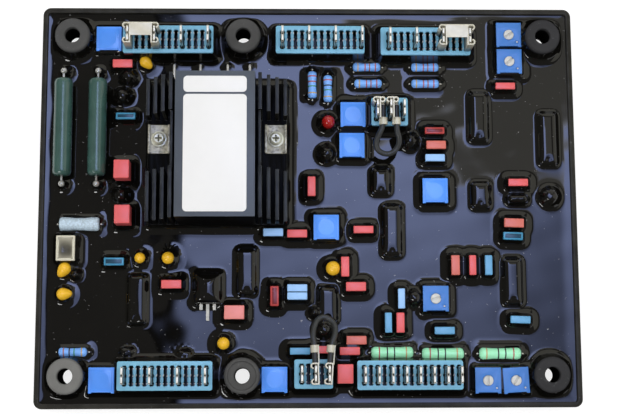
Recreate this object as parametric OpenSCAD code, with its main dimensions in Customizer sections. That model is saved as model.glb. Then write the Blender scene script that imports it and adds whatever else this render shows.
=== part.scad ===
// Automatic voltage regulator for a generator, potted in an open tray.
// +X runs right along the tray, +Y runs up across it, +Z rises out of the open side.
// The origin is the middle of the underside. All sizes are in millimetres.

/* [Tray] */
// outside length of the tray along X
tray_length = 204; // [204:1:210]
// outside width of the tray along Y
tray_width = 153; // [153:1:158]
// height of the tray rim above the underside
tray_height = 10; // [9.5:0.5:11]
// thickness of the tray wall
tray_wall = 2; // [1.5:0.5:2]
// thickness of the tray floor
tray_floor = 2; // [1.5:0.5:2.5]
// outside corner radius of the tray
tray_corner = 3; // [2.5:0.5:5]
// width of the ledge that carries the board
ledge_width = 1.5; // [1:0.5:2]
// height of the ledge above the floor
ledge_height = 1.6; // [1.2:0.2:2]

/* [Board and resin] */
// thickness of the circuit board
board_thick = 1.6; // [1.2:0.2:2]
// gap between the board edge and the tray wall
board_gap = 0.3; // [0.2:0.1:0.6]
// depth of resin over the board
resin_depth = 3; // [2.6:0.2:3.4]
// how far resin climbs the tray wall
wall_climb = 1.2; // [0.8:0.2:1.4]
// width of the slope where resin climbs a part
resin_reach = 3.2; // [2.4:0.2:3.6]
// thickness of resin over the covered parts
resin_skin = 0.4; // [0.3:0.1:0.6]
// gap between a potted part and its pocket in the resin
resin_gap = 0.05; // [0.03:0.01:0.1]

/* [Mounting bushes] */
// outside diameter of a bush
bush_d = 13.4; // [12:0.2:14]
// bore of a bush
bush_bore = 5.7; // [4.5:0.1:6.5]
// height of a bush above the underside
bush_height = 15; // [13:0.5:17]
// chamfer at the top of a bush
bush_chamfer = 0.8; // [0.4:0.1:1.2]
// distance from the ends of the tray to the corner bushes
bush_inset_x = 12; // [11:0.5:12.5]
// distance from the sides of the tray to the bushes
bush_inset_y = 12; // [11.5:0.5:12.5]
// place of the middle bushes along X
bush_middle_x = -25; // [-25.5:0.5:-25]
// diameter of the seat ring turned into the lower middle bush
bush_seat_d = 10.6; // [8:0.2:11]

/* [Power module] */
// length of the module along X
module_length = 51; // [49.5:0.5:52]
// width of the module along Y
module_width = 44; // [40:1:46]
// height of the module above the board
module_height = 4.8; // [4.4:0.2:6]
// diameter of a module lead
lead_d = 1; // [0.8:0.1:1.2]
// distance from the middle of the heat sink to where the leads turn down
lead_turn_y = 35.5; // [33:0.5:36]

/* [Heat sink] */
// middle of the heat sink along X
sink_x = -34.5; // [-35:0.5:-34]
// middle of the heat sink along Y
sink_y = 18.5; // [18:0.5:19]
// length of the heat sink along Y
sink_length = 53.5; // [52:0.5:54]
// height of the heat sink above the module
sink_height = 26; // [22:1:30]
// thickness of the heat sink base
sink_base = 4; // [3:0.5:5]
// width of the solid middle of the heat sink
plateau_width = 29; // [27:0.5:29]
// thickness of a fin
fin_thick = 1.3; // [1:0.1:1.5]
// distance from one fin to the next
fin_pitch = 3.1; // [2.9:0.1:3.2]
// how much lower each fin is than the one before it
fin_step = 3.7; // [2.5:0.1:4]
// length of the window milled through the fins
window_length = 21; // [16:1:23]
// place of the window along Y from the middle of the heat sink
window_shift = 2.5; // [1:0.5:4]
// width of the shoulder left beside the middle in the window
shoulder_width = 2; // [1.6:0.2:2.4]
// depth of the shoulder below the top
shoulder_drop = 5; // [3:0.5:8]

/* [Clamps] */
// distance of a clamp screw from the side of the solid middle
clamp_reach = 7.5; // [7.5:0.1:7.7]
// place of the clamps along Y from the middle of the window
clamp_shift = 3; // [0:0.5:4]
// size of a clamp plate along X
clamp_x = 8.2; // [7.6:0.2:8.2]
// size of a clamp plate along Y
clamp_y = 11; // [10:0.5:13]
// thickness of the sheet of a clamp plate
clamp_sheet = 0.8; // [0.6:0.1:1]
// height of the folded edges of a clamp plate
clamp_edge = 1.8; // [1.4:0.2:2.4]
// diameter of the screw shank
screw_d = 2.9; // [2.5:0.1:3]
// diameter of the screw head
screw_head_d = 4.8; // [4.4:0.2:5.2]
// height of the screw head
screw_head_h = 1.8; // [1.4:0.2:2.4]
// diameter of the washer under the screw head
washer_d = 6; // [5.6:0.2:6.2]
// thickness of the washer
washer_thick = 0.6; // [0.4:0.1:0.8]
// gap round the screw shank
screw_gap = 0.1; // [0.1:0.05:0.2]

/* [Labels] */
// width of both label plates
label_width = 23; // [20:0.5:26]
// length of the small label plate along Y
label_small_length = 6; // [5:0.5:7]
// gap between the two label plates
label_gap = 0.75; // [0.5:0.25:2]
// distance from the small label plate to the upper end of the heat sink
label_upper = 2; // [1:0.5:3]
// distance from the large label plate to the lower end of the heat sink
label_lower = 1.75; // [1:0.25:3]
// corner radius of the label plates
label_corner = 1.5; // [0.5:0.5:2.5]
// thickness of a label plate
label_thick = 0.3; // [0.2:0.1:0.5]

/* [Terminal blocks] */
// width of a block along Y
block_width = 10.7; // [10.1:0.1:10.9]
// height of a block above the board
block_height = 11; // [10:0.5:12]
// distance from one slot to the next
slot_pitch = 2.5; // [2.5:0.05:2.55]
// length of a slot along Y
slot_length = 7.6; // [7.2:0.1:8]
// width of a slot
slot_width = 1.3; // [1.1:0.1:1.4]
// diameter of the round widenings of a slot
slot_eye = 1.9; // [1.5:0.1:2]
// depth of a slot
slot_depth = 8; // [6:0.5:9]
// width of a blade along Y
blade_width = 6.3; // [6:0.1:6.5]
// thickness of a blade
blade_thick = 0.8; // [0.6:0.1:0.8]
// height of a blade above its block
blade_rise = 9; // [8:0.5:10]
// width of the notch in the tip of a blade
blade_notch = 1.7; // [1.2:0.1:2]

/* [Links and jumpers] */
// thickness of the sheet of links and receptacles
sheet = 0.5; // [0.4:0.05:0.5]
// gap between a blade and the sheet round it
blade_gap = 0.3; // [0.25:0.05:0.35]
// outside radius of a rolled edge
curl_r = 1.1; // [1:0.05:1.15]
// width of the bridge of a link along Y
bridge_width = 5; // [4:0.5:6]
// outside diameter of the jumper wire
wire_d = 2.1; // [1.9:0.1:2.2]
// gap between the wire and its crimp
crimp_gap = 0.05; // [0.03:0.01:0.1]

/* [Trimmers] */
// side of a square trimmer
trimmer_side = 9.6; // [9.2:0.1:9.8]
// height of a trimmer above the board
trimmer_height = 6; // [5.4:0.2:7]
// diameter of the adjusting rotor
rotor_d = 3.8; // [3.2:0.1:4.4]
// thickness of the rotor
rotor_thick = 1.6; // [1.2:0.1:2]
// how far the rotor stands out of the trimmer
rotor_rise = 0.3; // [0.2:0.1:0.6]
// radial running gap round the rotor
rotor_gap = 0.08; // [0.05:0.01:0.1]
// width of the driver slot in the rotor
rotor_slot = 0.8; // [0.6:0.1:1]
// thickness of the sealing film on a sealed trimmer
seal_thick = 0.2; // [0.15:0.05:0.3]

/* [Capacitors] */
// length of a film capacitor
film_length = 7.5; // [7.2:0.1:7.8]
// height of a film capacitor above the board
film_height = 7.5; // [7:0.5:9]
// height of a tall film capacitor above the board
tall_height = 14; // [12:0.5:16]
// width of a tall film capacitor
tall_width = 5.8; // [5.2:0.2:6.2]
// length of a tall film capacitor
tall_length = 7; // [6.6:0.2:7.4]
// height of the middle of a tantalum bead above the board
bead_height = 5.4; // [5:0.2:6.2]
// diameter of the neck of a tantalum bead
bead_neck = 2; // [1.4:0.2:2.4]

/* [Resistors] */
// diameter of a blue resistor
blue_d = 3.5; // [3.1:0.1:3.7]
// length of a blue resistor
blue_length = 10.6; // [10:0.2:11]
// diameter of a green resistor
green_d = 4.5; // [4.1:0.1:4.7]
// length of a green resistor
green_length = 15.8; // [15:0.2:16]
// diameter of the dog-bone resistor at its ends
bone_d = 5.3; // [4.9:0.1:5.5]
// length of the dog-bone resistor
bone_length = 15; // [14:0.5:15.5]
// height of the resistor axes above the board
resistor_axis = 3.5; // [3:0.1:4]
// diameter of the resistor leads
wire_lead_d = 0.8; // [0.6:0.1:1]
// distance from a resistor end to its lead post
lead_reach = 1.2; // [0.9:0.1:1.3]
// diameter of a power resistor
power_d = 7; // [6.4:0.2:7.6]
// length of a power resistor along Y
power_length = 37.5; // [35:0.5:38]
// height of a power resistor axis above the board
power_axis = 8.3; // [7.6:0.1:9.5]
// diameter of the solder beads on the power resistor posts
solder_d = 2.4; // [2:0.1:2.8]

/* [Other parts] */
// width of an integrated circuit
chip_width = 6.4; // [6:0.1:6.6]
// height of an integrated circuit above the board
chip_height = 4.2; // [3.8:0.2:4.6]
// height of a coated transistor above the board
coated_height = 5.2; // [4.6:0.2:5.6]
// diameter of a diode
diode_d = 3.6; // [3.2:0.1:3.8]
// length of a diode
diode_length = 5.6; // [5:0.2:6]
// diameter of the lamp
lamp_d = 5; // [4.6:0.2:5.4]
// height of the lamp above the board
lamp_height = 8.8; // [8:0.2:10]
// size of the ceramic box along X
ceramic_x = 7; // [6.6:0.1:7.2]
// size of the ceramic box along Y
ceramic_y = 9.5; // [9:0.1:9.8]
// height of the ceramic box above the board
ceramic_height = 8; // [7:0.5:10]
// wall of the ceramic box round its fill
ceramic_wall = 1; // [0.8:0.1:1.2]
// size of the coated power transistor along X
power_chip_x = 9; // [8.5:0.5:9.5]
// size of the coated power transistor along Y
power_chip_y = 11; // [10.5:0.5:11]
// height of the coated power transistor above the board
power_chip_height = 5.8; // [5:0.2:6.6]

/* [Hidden] */
// fineness of curves
$fn = 48;
// reach of a cut past the face it opens
over = 0.5;
// smallest corner radius of a slope of resin
slope_corner = 0.5;
// lip of resin round the top of its slope
slope_lip = 0.25;

// length and width of the tray that the places below are drawn for
drawn_length = 204;
drawn_width = 153;
// how far the places move apart when the tray grows
spread_x = tray_length / drawn_length;
spread_y = tray_width / drawn_width;

// inside size of the tray
inner_x = tray_length - 2 * tray_wall;
inner_y = tray_width - 2 * tray_wall;
inner_corner = tray_corner - tray_wall;
// clear size inside the ledge
ledge_x = inner_x - 2 * ledge_width;
ledge_y = inner_y - 2 * ledge_width;
// heights of the stacked layers
board_bottom = tray_floor + ledge_height;
board_top = board_bottom + board_thick;
resin_level = board_top + resin_depth;
resin_wall_top = min(resin_level + wall_climb, tray_height - 0.3);
sink_bottom = board_top + module_height;
sink_floor = sink_bottom + sink_base;
sink_top = sink_bottom + sink_height;
block_top = board_top + block_height;
blade_top = block_top + blade_rise;
slot_floor = block_top - slot_depth;
trimmer_top = board_top + trimmer_height;
film_top = board_top + film_height;
tall_top = board_top + tall_height;
chip_top = board_top + chip_height;
coated_top = board_top + coated_height;
lamp_top = board_top + lamp_height;
ceramic_top = board_top + ceramic_height;
power_chip_top = board_top + power_chip_height;
resistor_z = board_top + resistor_axis;
power_z = board_top + power_axis;
bead_z = board_top + bead_height;
lead_z = sink_bottom - lead_d / 2 - 0.2;
wire_z = block_top + 4;
// bottom of the pockets, below the underside of the resin
pocket_z = board_top - over;

// outside width of the heat sink, to the face of the last fin
fin_first = 1.75;
fins = 4;
sink_width = plateau_width + 2 * (fin_first + (fins - 1) * fin_pitch + fin_thick / 2);
// middle of the heat sink
sink_mid = [sink_x * spread_x, sink_y * spread_y];
// place of the clamps from the middle of the heat sink
clamp_at = [plateau_width / 2 + clamp_reach, window_shift + clamp_shift];
// place along Y where the module leads turn down
lead_y = sink_mid[1] + lead_turn_y;
// top of the clamp plate sheet and of the washer
clamp_top = sink_floor + clamp_sheet;
washer_top = clamp_top + washer_thick;

// place of the end bushes along X
bush_end_x = tray_length / 2 - bush_inset_x;
// mounting bushes: x, y
bushes = [
    for (y = [1, -1], x = [-bush_end_x, bush_middle_x * spread_x, bush_end_x])
        [x, y * (tray_width / 2 - bush_inset_y)]
];
// terminal blocks: x of the first slot, y, slots, slots from blade to blade, left end, right end
blocks = [
    [-68, 62.5, 13, 4, 2.6, 1.7],
    [-10, 62.5, 13, 4, 2.5, 1.3],
    [30.5, 62, 13, 4, 3, 1.3],
    [-68, -64.5, 13, 4, 2.7, 2.2],
    [-3, -64, 5, 2, 2.7, 1.5],
    [25.5, 34.5, 5, 2, 1.8, 2],
    [20, -64.5, 15, 2, 2.5, 1.5]
];
// adjustable trimmers: x, y, turn, turn of the rotor
trimmers = [
    [77.5, 66, 0, 35], [77.5, 55.5, 0, 45], [47.5, -36, 0, 15], [66.5, -66.5, 0, 90], [77, -66.5, 3, 55]
];
// sealed trimmers: x, y
sealed = [
    [-76.5, 64], [17, 34.5], [16.5, 22.5], [48, 5], [6.5, -9], [-77, -66], [-13, -66]
];
// red film capacitors: x, y, turn, thickness
red_films = [
    [-71, 54, 0, 3.2], [-51.5, -30.5, 0, 3.2], [-28, -41, 0, 5.2], [-13, -35, 90, 3.2],
    [-4.5, -11.5, 0, 3], [1, 6.5, 90, 3], [20.5, -10, 0, 2.8], [13.5, -24, 90, 3],
    [17.5, -31.5, 0, 3.4], [48, 28, 0, 2.6], [48.5, 22.5, 0, 3.2], [75.5, 45.5, 0, 2.6],
    [79.5, 8, 0, 2.8], [77.5, -7.5, -2, 3.4], [55, -23.5, 90, 3.2], [61.5, -23.5, 90, 2.6],
    [34, -45, 90, 3], [17.5, -51.5, 0, 3.2], [15, -55.5, 0, 3], [4.5, -55, 0, 2.8]
];
// blue film capacitors: x, y, turn, thickness
blue_films = [
    [-69.5, 33.5, 0, 2.6], [-73, -22, 0, 3], [-13.5, -11, 0, 3], [-4.5, -32, 0, 2.8],
    [48, 17.5, 0, 2.8], [77, -12.5, -2, 3], [67.5, -23.5, 90, 2.8], [34.5, -36, 90, 2.6],
    [29.5, -45, 90, 2.6], [79, -44, -2, 2.8], [50.5, -48, 0, 2.8], [-3.5, -55.5, 0, 2.6],
    [-4.5, -35, 0, 2.8]
];
// tall film capacitors: x, y
tall_films = [[-70, 12], [-69.5, -5], [13, -64]];
// tantalum beads: x, y, radius
beads = [
    [-62.5, 55, 2.2], [-91.5, -24.5, 2.4], [-92, -34, 2.3], [-63.5, -20.5, 2],
    [-53, -20.5, 2.3], [9, -24.5, 2.7], [-32, -52.5, 2.3]
];
// lamp: x, y
lamp_at = [7.5, 31.5];
// blue resistors: x, y, turn
blue_rs = [
    [1.5, 46.5, 90], [7.5, 45, 90], [22.5, 53.5, 0], [23, 47, 0], [45, 53.5, 0],
    [45, 47, 0], [-88, -55.5, 0]
];
// green resistors: x, y, turn
green_rs = [[31, -56, 0], [50, -56.5, 0], [71.5, -56.5, 180]];
// dog-bone resistor: x, y
bone_at = [-86.5, -7.5];
// power resistors: x, y
power_rs = [[-93, 29], [-80, 29]];
// distance from a power resistor end to its posts, and diameter of the posts
power_post = 3;
post_d = 1.2;
// ceramic box and coated power transistor: x, y
ceramic_at = [-91, -17];
power_chip_at = [-38, -32];
// pins of the coated power transistor: x, length
power_pins = [[-2.5, 2.5], [0, 6.5], [2.5, 2.5]];
// width and thickness of its pins
power_pin = [1.2, 0.6];
// module leads: x from the middle of the heat sink
lead_xs = [-17, -7, 3.5, 12];
// integrated circuits: x, y, length
chips = [
    [-64.5, -36, 18], [-23.5, -25.5, 17], [27.5, 9, 9.6], [31.5, -10, 19], [7, -38, 13],
    [65.5, 34, 18.5], [92, 25.5, 20], [65.5, 3.5, 9.6], [77, -29.5, 17]
];
// coated transistors: x, y, radius
coated = [
    [-69, 49.5, 2.4], [-71, 42, 2.4], [-71, 3.5, 2.4], [7, 19.5, 2.4], [39, 24.5, 2.4],
    [39.5, -35.5, 2.4], [2, -41, 1.5], [5.5, -47.5, 2.4], [92, 3, 2.8], [-87.5, -26.5, 1.4]
];
// coated capacitor: x, y, length, thickness
coated_film = [79.5, 2, 7.5, 3];
// diodes: x, y
diodes_at = [[-68, -55.5], [-46.5, -56.5]];

// links: block, first slot, last slot
links = [[0, 0, 4], [2, 8, 12]];
// receptacles of the two jumpers: block, slot, turn
flags = [[[5, 0, 0], [5, 2, 0]], [[4, 2, 2], [4, 4, -4]]];
// distance from a blade to the middle of the sheet that backs it
back_x = blade_thick / 2 + blade_gap + sheet / 2;
// half length of a receptacle along Y
flag_half = blade_width / 2 + blade_gap + sheet;
// distance from a blade to the middle of the wire beside it
wire_x = back_x + sheet / 2 + wire_d / 2 + crimp_gap;
// place along Y of the tab that stops the wire beside a blade
wire_stop = 1.5;
// lengths of the crimps and places along Y where they end
crimp_length = 2.7;
crimp_1_end = -flag_half - 2;
crimp_2_end = flag_half + 6.5;
// routes of the jumper wires, from one receptacle to the other
wire_1 = [
    flag_point(0, 0, wire_x, wire_stop), flag_point(0, 0, wire_x, crimp_1_end),
    [26.5, 25.5, wire_z - 0.5], [25, 22.5, wire_z - 1.5], [25.5, 19.5, wire_z - 2.5],
    [28, 18, wire_z - 3], [31, 18, wire_z - 3], [33.5, 20.5, wire_z - 2.5],
    [34, 23.5, wire_z - 1.5], [33, 26, wire_z - 0.5],
    flag_point(0, 1, wire_x, crimp_1_end), flag_point(0, 1, wire_x, wire_stop)
];
wire_2 = [
    flag_point(1, 0, 0, flag_half), flag_point(1, 0, 0, crimp_2_end),
    [1, -50, wire_z - 0.5], [1.5, -47, wire_z - 1.5], [2.5, -44.5, wire_z - 2.5],
    [4.5, -43, wire_z - 3], [7, -43.5, wire_z - 3], [9, -45.5, wire_z - 2.5],
    [9.5, -48, wire_z - 1.5], [9, -50.5, wire_z - 0.5],
    flag_point(1, 1, 0, crimp_2_end), flag_point(1, 1, 0, flag_half)
];

// names of the separate pieces
// piece to draw, or all of them

// place of a slot of a block
function slot_x(b, i) = blocks[b][0] * spread_x + i * slot_pitch;
// point beside the blade that a receptacle of a jumper sits on
function flag_point(j, k, x, y) = let (f = flags[j][k]) [
    slot_x(f[0], f[1]) + x * cos(f[2]) - y * sin(f[2]),
    block_y(blocks[f[0]]) + x * sin(f[2]) + y * cos(f[2]),
    wire_z
];
// length and middle of a block along X
function block_length(b) = (b[2] - 1) * slot_pitch + b[4] + b[5];
function block_x(b) = b[0] * spread_x + ((b[2] - 1) * slot_pitch + b[5] - b[4]) / 2;
function block_y(b) = b[1] * spread_y;

// outline of a rounded rectangle with two points at each corner
function ring(x, y, r, z) = [
    for (c = [[1, 1, 0], [-1, 1, 90], [-1, -1, 180], [1, -1, 270]], a = [0, 90])
        [c[0] * (x / 2 - r) + r * cos(c[2] + a), c[1] * (y / 2 - r) + r * sin(c[2] + a), z]
];

// flat rounded rectangle
module round_rect(x, y, r) {
    square([x - 2 * r, y], center = true);
    square([x, y - 2 * r], center = true);
    for (i = [-1, 1], j = [-1, 1])
        translate([i * (x / 2 - r), j * (y / 2 - r)])
            circle(r);
}

// upright plate with rounded corners, from one height to another
module plate(x, y, r, z0, z1) {
    translate([0, 0, z0])
        linear_extrude(z1 - z0)
            round_rect(x, y, r);
}

// upright block, from one height to another
module block(x, y, z0, z1) {
    translate([-x / 2, -y / 2, z0])
        cube([x, y, z1 - z0]);
}

// solid between two outlines
module slope(lower, upper) {
    n = len(lower);
    hull()
        polyhedron(
            points = concat(lower, upper),
            faces = [[for (i = [0:n - 1]) i], [for (i = [0:n - 1]) 2 * n - 1 - i]]
        );
}

// resin that climbs a part with a rounded rectangular outline
module climb(x, y, r, top, reach = resin_reach) {
    corner = max(r, slope_corner);
    rise = top - resin_level;
    foot = resin_level - 0.2;
    waist = resin_level + 0.35 * rise;
    near = 0.36 * reach;
    mid = ring(x + 2 * near, y + 2 * near, corner + near, waist);
    slope(ring(x + 2 * reach, y + 2 * reach, corner + reach, foot), mid);
    slope(mid, ring(x + 2 * slope_lip, y + 2 * slope_lip, corner + slope_lip, top));
}

// pocket in the resin for a part with straight sides
module pocket(x, y, top) {
    block(x + 2 * resin_gap, y + 2 * resin_gap, pocket_z, top);
}

// pocket in the resin for a round part
module round_pocket(d, top, n = 16) {
    translate([0, 0, pocket_z])
        rotate(180 / n)
            cylinder(h = top - pocket_z, d = (d + 2 * resin_gap) / cos(180 / n), $fn = n);
}

// moves its children to a place of the drawn layout
module put(p) {
    translate([p[0] * spread_x, p[1] * spread_y, 0])
        children();
}

// calls its children at each place of a list, turned by the third number if asked
module at(places, turned = false) {
    for (p = places)
        put(p)
            rotate(turned ? p[2] : 0)
                children();
}

// calls its children at each mounting bush
module at_bushes() {
    for (p = bushes)
        translate([p[0], p[1], 0])
            children();
}

module tray() {
    color([0.09, 0.09, 0.1])
        difference() {
            plate(tray_length, tray_width, tray_corner, 0, tray_height);
            plate(inner_x, inner_y, inner_corner, board_bottom, tray_height + over);
            plate(ledge_x, ledge_y, inner_corner, tray_floor, board_bottom + over);
            at_bushes()
                translate([0, 0, -over])
                    cylinder(h = tray_height, d = bush_d);
        }
}

module underfill() {
    color([0.06, 0.06, 0.07])
        difference() {
            plate(ledge_x, ledge_y, inner_corner, tray_floor, board_bottom);
            at_bushes()
                cylinder(h = tray_height, d = bush_d);
        }
}

module circuit_board() {
    color([0.12, 0.3, 0.18])
        difference() {
            block(inner_x - 2 * board_gap, inner_y - 2 * board_gap, board_bottom, board_top);
            at_bushes()
                cylinder(h = tray_height, d = bush_d);
        }
}

module mounting_bush(i) {
    seat = i == 4 ? bush_seat_d : 0;
    translate([bushes[i][0], bushes[i][1], 0])
        color([0.2, 0.2, 0.22])
            difference() {
                rotate_extrude()
                    polygon([
                        [bush_bore / 2, 0], [bush_d / 2, 0], [bush_d / 2, bush_height - bush_chamfer],
                        [bush_d / 2 - bush_chamfer, bush_height], [bush_bore / 2, bush_height]
                    ]);
                if (seat > 0)
                    translate([0, 0, bush_height - 0.6])
                        cylinder(h = 2, d = seat);
            }
}

// slab of resin with its rim climbing the tray wall
module resin_slab() {
    rise = resin_wall_top - resin_level;
    difference() {
        translate([0, 0, board_top])
            linear_extrude(resin_wall_top - board_top)
                polygon([for (p = ring(inner_x, inner_y, inner_corner, 0)) [p[0], p[1]]]);
        slope(
            ring(inner_x - 2 * resin_reach, inner_y - 2 * resin_reach, inner_corner, resin_level),
            ring(inner_x - resin_reach, inner_y - resin_reach, inner_corner, resin_level + 0.3 * rise)
        );
        slope(
            ring(inner_x - resin_reach, inner_y - resin_reach, inner_corner, resin_level + 0.3 * rise),
            ring(inner_x - 0.2, inner_y - 0.2, inner_corner, resin_wall_top + 0.05)
        );
    }
}

// every slope of resin round the parts
module climbs() {
    at_bushes()
        climb(bush_d, bush_d, bush_d / 3.4, bush_height - 2.5, resin_reach + 0.6);
    for (b = blocks)
        translate([block_x(b), block_y(b), 0])
            climb(block_length(b), block_width, 0.8, block_top - 1.4, resin_reach + 0.6);
    translate([sink_mid[0], sink_mid[1], 0])
        climb(sink_width, sink_length, 0.5, sink_bottom + sink_base / 2, resin_reach + 0.6);
    for (x = lead_xs)
        translate([sink_mid[0] + x, lead_y, 0])
            climb(lead_d, lead_d, lead_d / 2, lead_z, resin_reach - 0.6);
    at(trimmers, true)
        climb(trimmer_side, trimmer_side, 0.5, trimmer_top - 0.7);
    at(sealed)
        climb(trimmer_side, trimmer_side, 0.5, trimmer_top - 0.7);
    for (c = concat(red_films, blue_films))
        put(c)
            rotate(c[2])
                climb(film_length, c[3], 0.5, film_top - 1);
    at(tall_films)
        climb(tall_width, tall_length, 0.5, film_top - 0.2);
    for (c = beads)
        put(c)
            climb(2 * c[2], 2 * c[2], c[2] / 1.7, bead_z - 0.4);
    put(lamp_at)
        climb(lamp_d, lamp_d, lamp_d / 3.4, resin_level + 2.4);
    at(blue_rs, true)
        climb(blue_length + 2 * lead_reach, blue_d, 0.6, resistor_z + 0.5);
    at(green_rs, true)
        climb(green_length + 2 * lead_reach, green_d, 0.8, resistor_z + 0.6);
    put(bone_at)
        climb(bone_length + 2 * lead_reach, bone_d, 1, resistor_z + 0.8);
    for (p = power_rs, s = [-1, 1])
        put(p)
            translate([0, s * (power_length / 2 + power_post), 0])
                climb(post_d, post_d, post_d / 3, power_z - 1.6, resin_reach - 0.4);
    put(ceramic_at)
        climb(ceramic_x, ceramic_y, 0.5, ceramic_top - 1);
    put(power_chip_at)
        climb(power_chip_x, power_chip_y, 0.8, power_chip_top - 0.6);
    for (c = chips)
        put(c)
            climb(chip_width, c[2], 0.8, chip_top + resin_skin);
    for (c = coated)
        put(c)
            climb(2 * c[2], 2 * c[2], c[2] / 1.7, coated_top + resin_skin);
    put(coated_film)
        climb(coated_film[2], coated_film[3], 0.6, coated_top + resin_skin);
    at(diodes_at)
        climb(diode_length, diode_d, 0.6, board_top + diode_d + resin_skin, resin_reach - 0.8);
}

// every pocket that the parts leave in the resin
module pockets() {
    top = sink_top;
    at_bushes()
        round_pocket(bush_d, top, 24);
    for (b = blocks)
        translate([block_x(b), block_y(b), 0])
            pocket(block_length(b), block_width, top);
    translate([sink_mid[0], sink_mid[1], 0])
        pocket(module_length, module_width, sink_bottom);
    translate([sink_mid[0], sink_mid[1], 0])
        block(sink_width + 2 * resin_gap, sink_length + 2 * resin_gap, sink_bottom - resin_gap, top);
    for (x = lead_xs)
        translate([sink_mid[0] + x, sink_mid[1] + lead_turn_y / 2, 0])
            pocket(lead_d, lead_turn_y + lead_d, top);
    at(trimmers, true)
        pocket(trimmer_side, trimmer_side, top);
    at(sealed)
        pocket(trimmer_side, trimmer_side, top);
    for (c = concat(red_films, blue_films))
        put(c)
            rotate(c[2])
                pocket(film_length, c[3], top);
    at(tall_films)
        pocket(tall_width, tall_length, top);
    for (c = beads)
        put(c)
            round_pocket(2 * c[2], top, 12);
    put(lamp_at)
        round_pocket(lamp_d + 0.8, top, 16);
    at(blue_rs, true) {
        pocket(blue_length, blue_d, top);
        pocket(blue_length + 2 * lead_reach + wire_lead_d, wire_lead_d, resistor_z + wire_lead_d);
    }
    at(green_rs, true) {
        pocket(green_length, green_d, top);
        pocket(green_length + 2 * lead_reach + wire_lead_d, wire_lead_d, resistor_z + wire_lead_d);
    }
    put(bone_at) {
        pocket(bone_length, bone_d, top);
        pocket(bone_length + 2 * lead_reach + wire_lead_d, wire_lead_d, resistor_z + wire_lead_d);
    }
    for (p = power_rs, s = [-1, 1])
        put(p)
            translate([0, s * (power_length / 2 + power_post), 0])
                round_pocket(post_d, top, 12);
    put(ceramic_at)
        pocket(ceramic_x, ceramic_y, top);
    put(power_chip_at)
        pocket(power_chip_x, power_chip_y, top);
    put(power_chip_at)
        for (p = power_pins)
            translate([p[0], -(power_chip_y + p[1]) / 2, 0])
                pocket(power_pin[0], p[1], top);
    for (c = chips)
        put(c)
            pocket(chip_width, c[2], chip_top + resin_gap);
    for (c = coated)
        put(c)
            round_pocket(2 * c[2], coated_top + resin_gap, 12);
    put(coated_film)
        pocket(coated_film[2], coated_film[3], coated_top + resin_gap);
    at(diodes_at)
        pocket(diode_length, diode_d, board_top + diode_d + resin_gap);
}

module potting() {
    color([0.03, 0.03, 0.035])
        difference() {
            intersection() {
                union() {
                    resin_slab();
                    climbs();
                }
                block(inner_x, inner_y, board_top, sink_top);
            }
            pockets();
        }
}

module power_module() {
    color([0.15, 0.15, 0.16])
        translate([sink_mid[0], sink_mid[1], 0])
            difference() {
                block(module_length, module_width, board_top, sink_bottom);
                for (s = [-1, 1])
                    translate([s * clamp_at[0], clamp_at[1], board_top + 1])
                        cylinder(h = module_height, d = screw_d + 2 * screw_gap);
            }
}

module module_leads() {
    start_y = sink_mid[1] + module_width / 2;
    color([0.75, 0.75, 0.74])
        for (x = lead_xs)
            translate([sink_mid[0] + x, 0, 0]) {
                translate([0, start_y, lead_z])
                    rotate([-90, 0, 0])
                        cylinder(h = lead_y - start_y, d = lead_d);
                translate([0, lead_y, board_top])
                    cylinder(h = lead_z - board_top, d = lead_d);
                translate([0, lead_y, lead_z])
                    sphere(d = lead_d);
            }
}

// outline of the heat sink across its fins
module sink_profile() {
    translate([-sink_width / 2, sink_bottom])
        square([sink_width, sink_base]);
    translate([-plateau_width / 2, sink_bottom])
        square([plateau_width, sink_height]);
    for (s = [-1, 1], i = [0:fins - 1])
        translate([s * (plateau_width / 2 + fin_first + i * fin_pitch) - fin_thick / 2, sink_bottom])
            square([fin_thick, sink_height - 2 - i * fin_step]);
}

module heat_sink() {
    inner = plateau_width / 2;
    color([0.3, 0.32, 0.38])
        translate([sink_mid[0], sink_mid[1], 0])
            difference() {
                rotate([90, 0, 0])
                    linear_extrude(sink_length, center = true)
                        sink_profile();
                for (s = [-1, 1]) {
                    translate([s * (inner + shoulder_width + sink_width / 2), window_shift, 0])
                        block(sink_width, window_length, sink_floor, sink_top + over);
                    translate([s * (inner + shoulder_width), window_shift, 0])
                        block(2 * shoulder_width, window_length, sink_top - shoulder_drop, sink_top + over);
                    translate([s * clamp_at[0], clamp_at[1], sink_bottom - over])
                        cylinder(h = sink_base + 2 * over, d = screw_d + 2 * screw_gap);
                }
            }
}

// folded clamp plate that presses the heat sink down
module clamp_plates() {
    color([0.72, 0.71, 0.68])
        for (s = [-1, 1])
            translate([sink_mid[0] + s * clamp_at[0], sink_mid[1] + clamp_at[1], 0])
                difference() {
                    union() {
                        block(clamp_x, clamp_y, sink_floor, clamp_top);
                        for (e = [-1, 1])
                            translate([e * (clamp_x - clamp_sheet) / 2, 0, 0])
                                block(clamp_sheet, clamp_y, sink_floor, sink_floor + clamp_edge);
                    }
                    cylinder(h = sink_top, d = screw_d + 2 * screw_gap);
                }
}

module clamp_washers() {
    color([0.6, 0.6, 0.62])
        for (s = [-1, 1])
            translate([sink_mid[0] + s * clamp_at[0], sink_mid[1] + clamp_at[1], clamp_top])
                difference() {
                    cylinder(h = washer_thick, d = washer_d);
                    translate([0, 0, -over])
                        cylinder(h = washer_thick + 2 * over, d = screw_d + 2 * screw_gap);
                }
}

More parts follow.
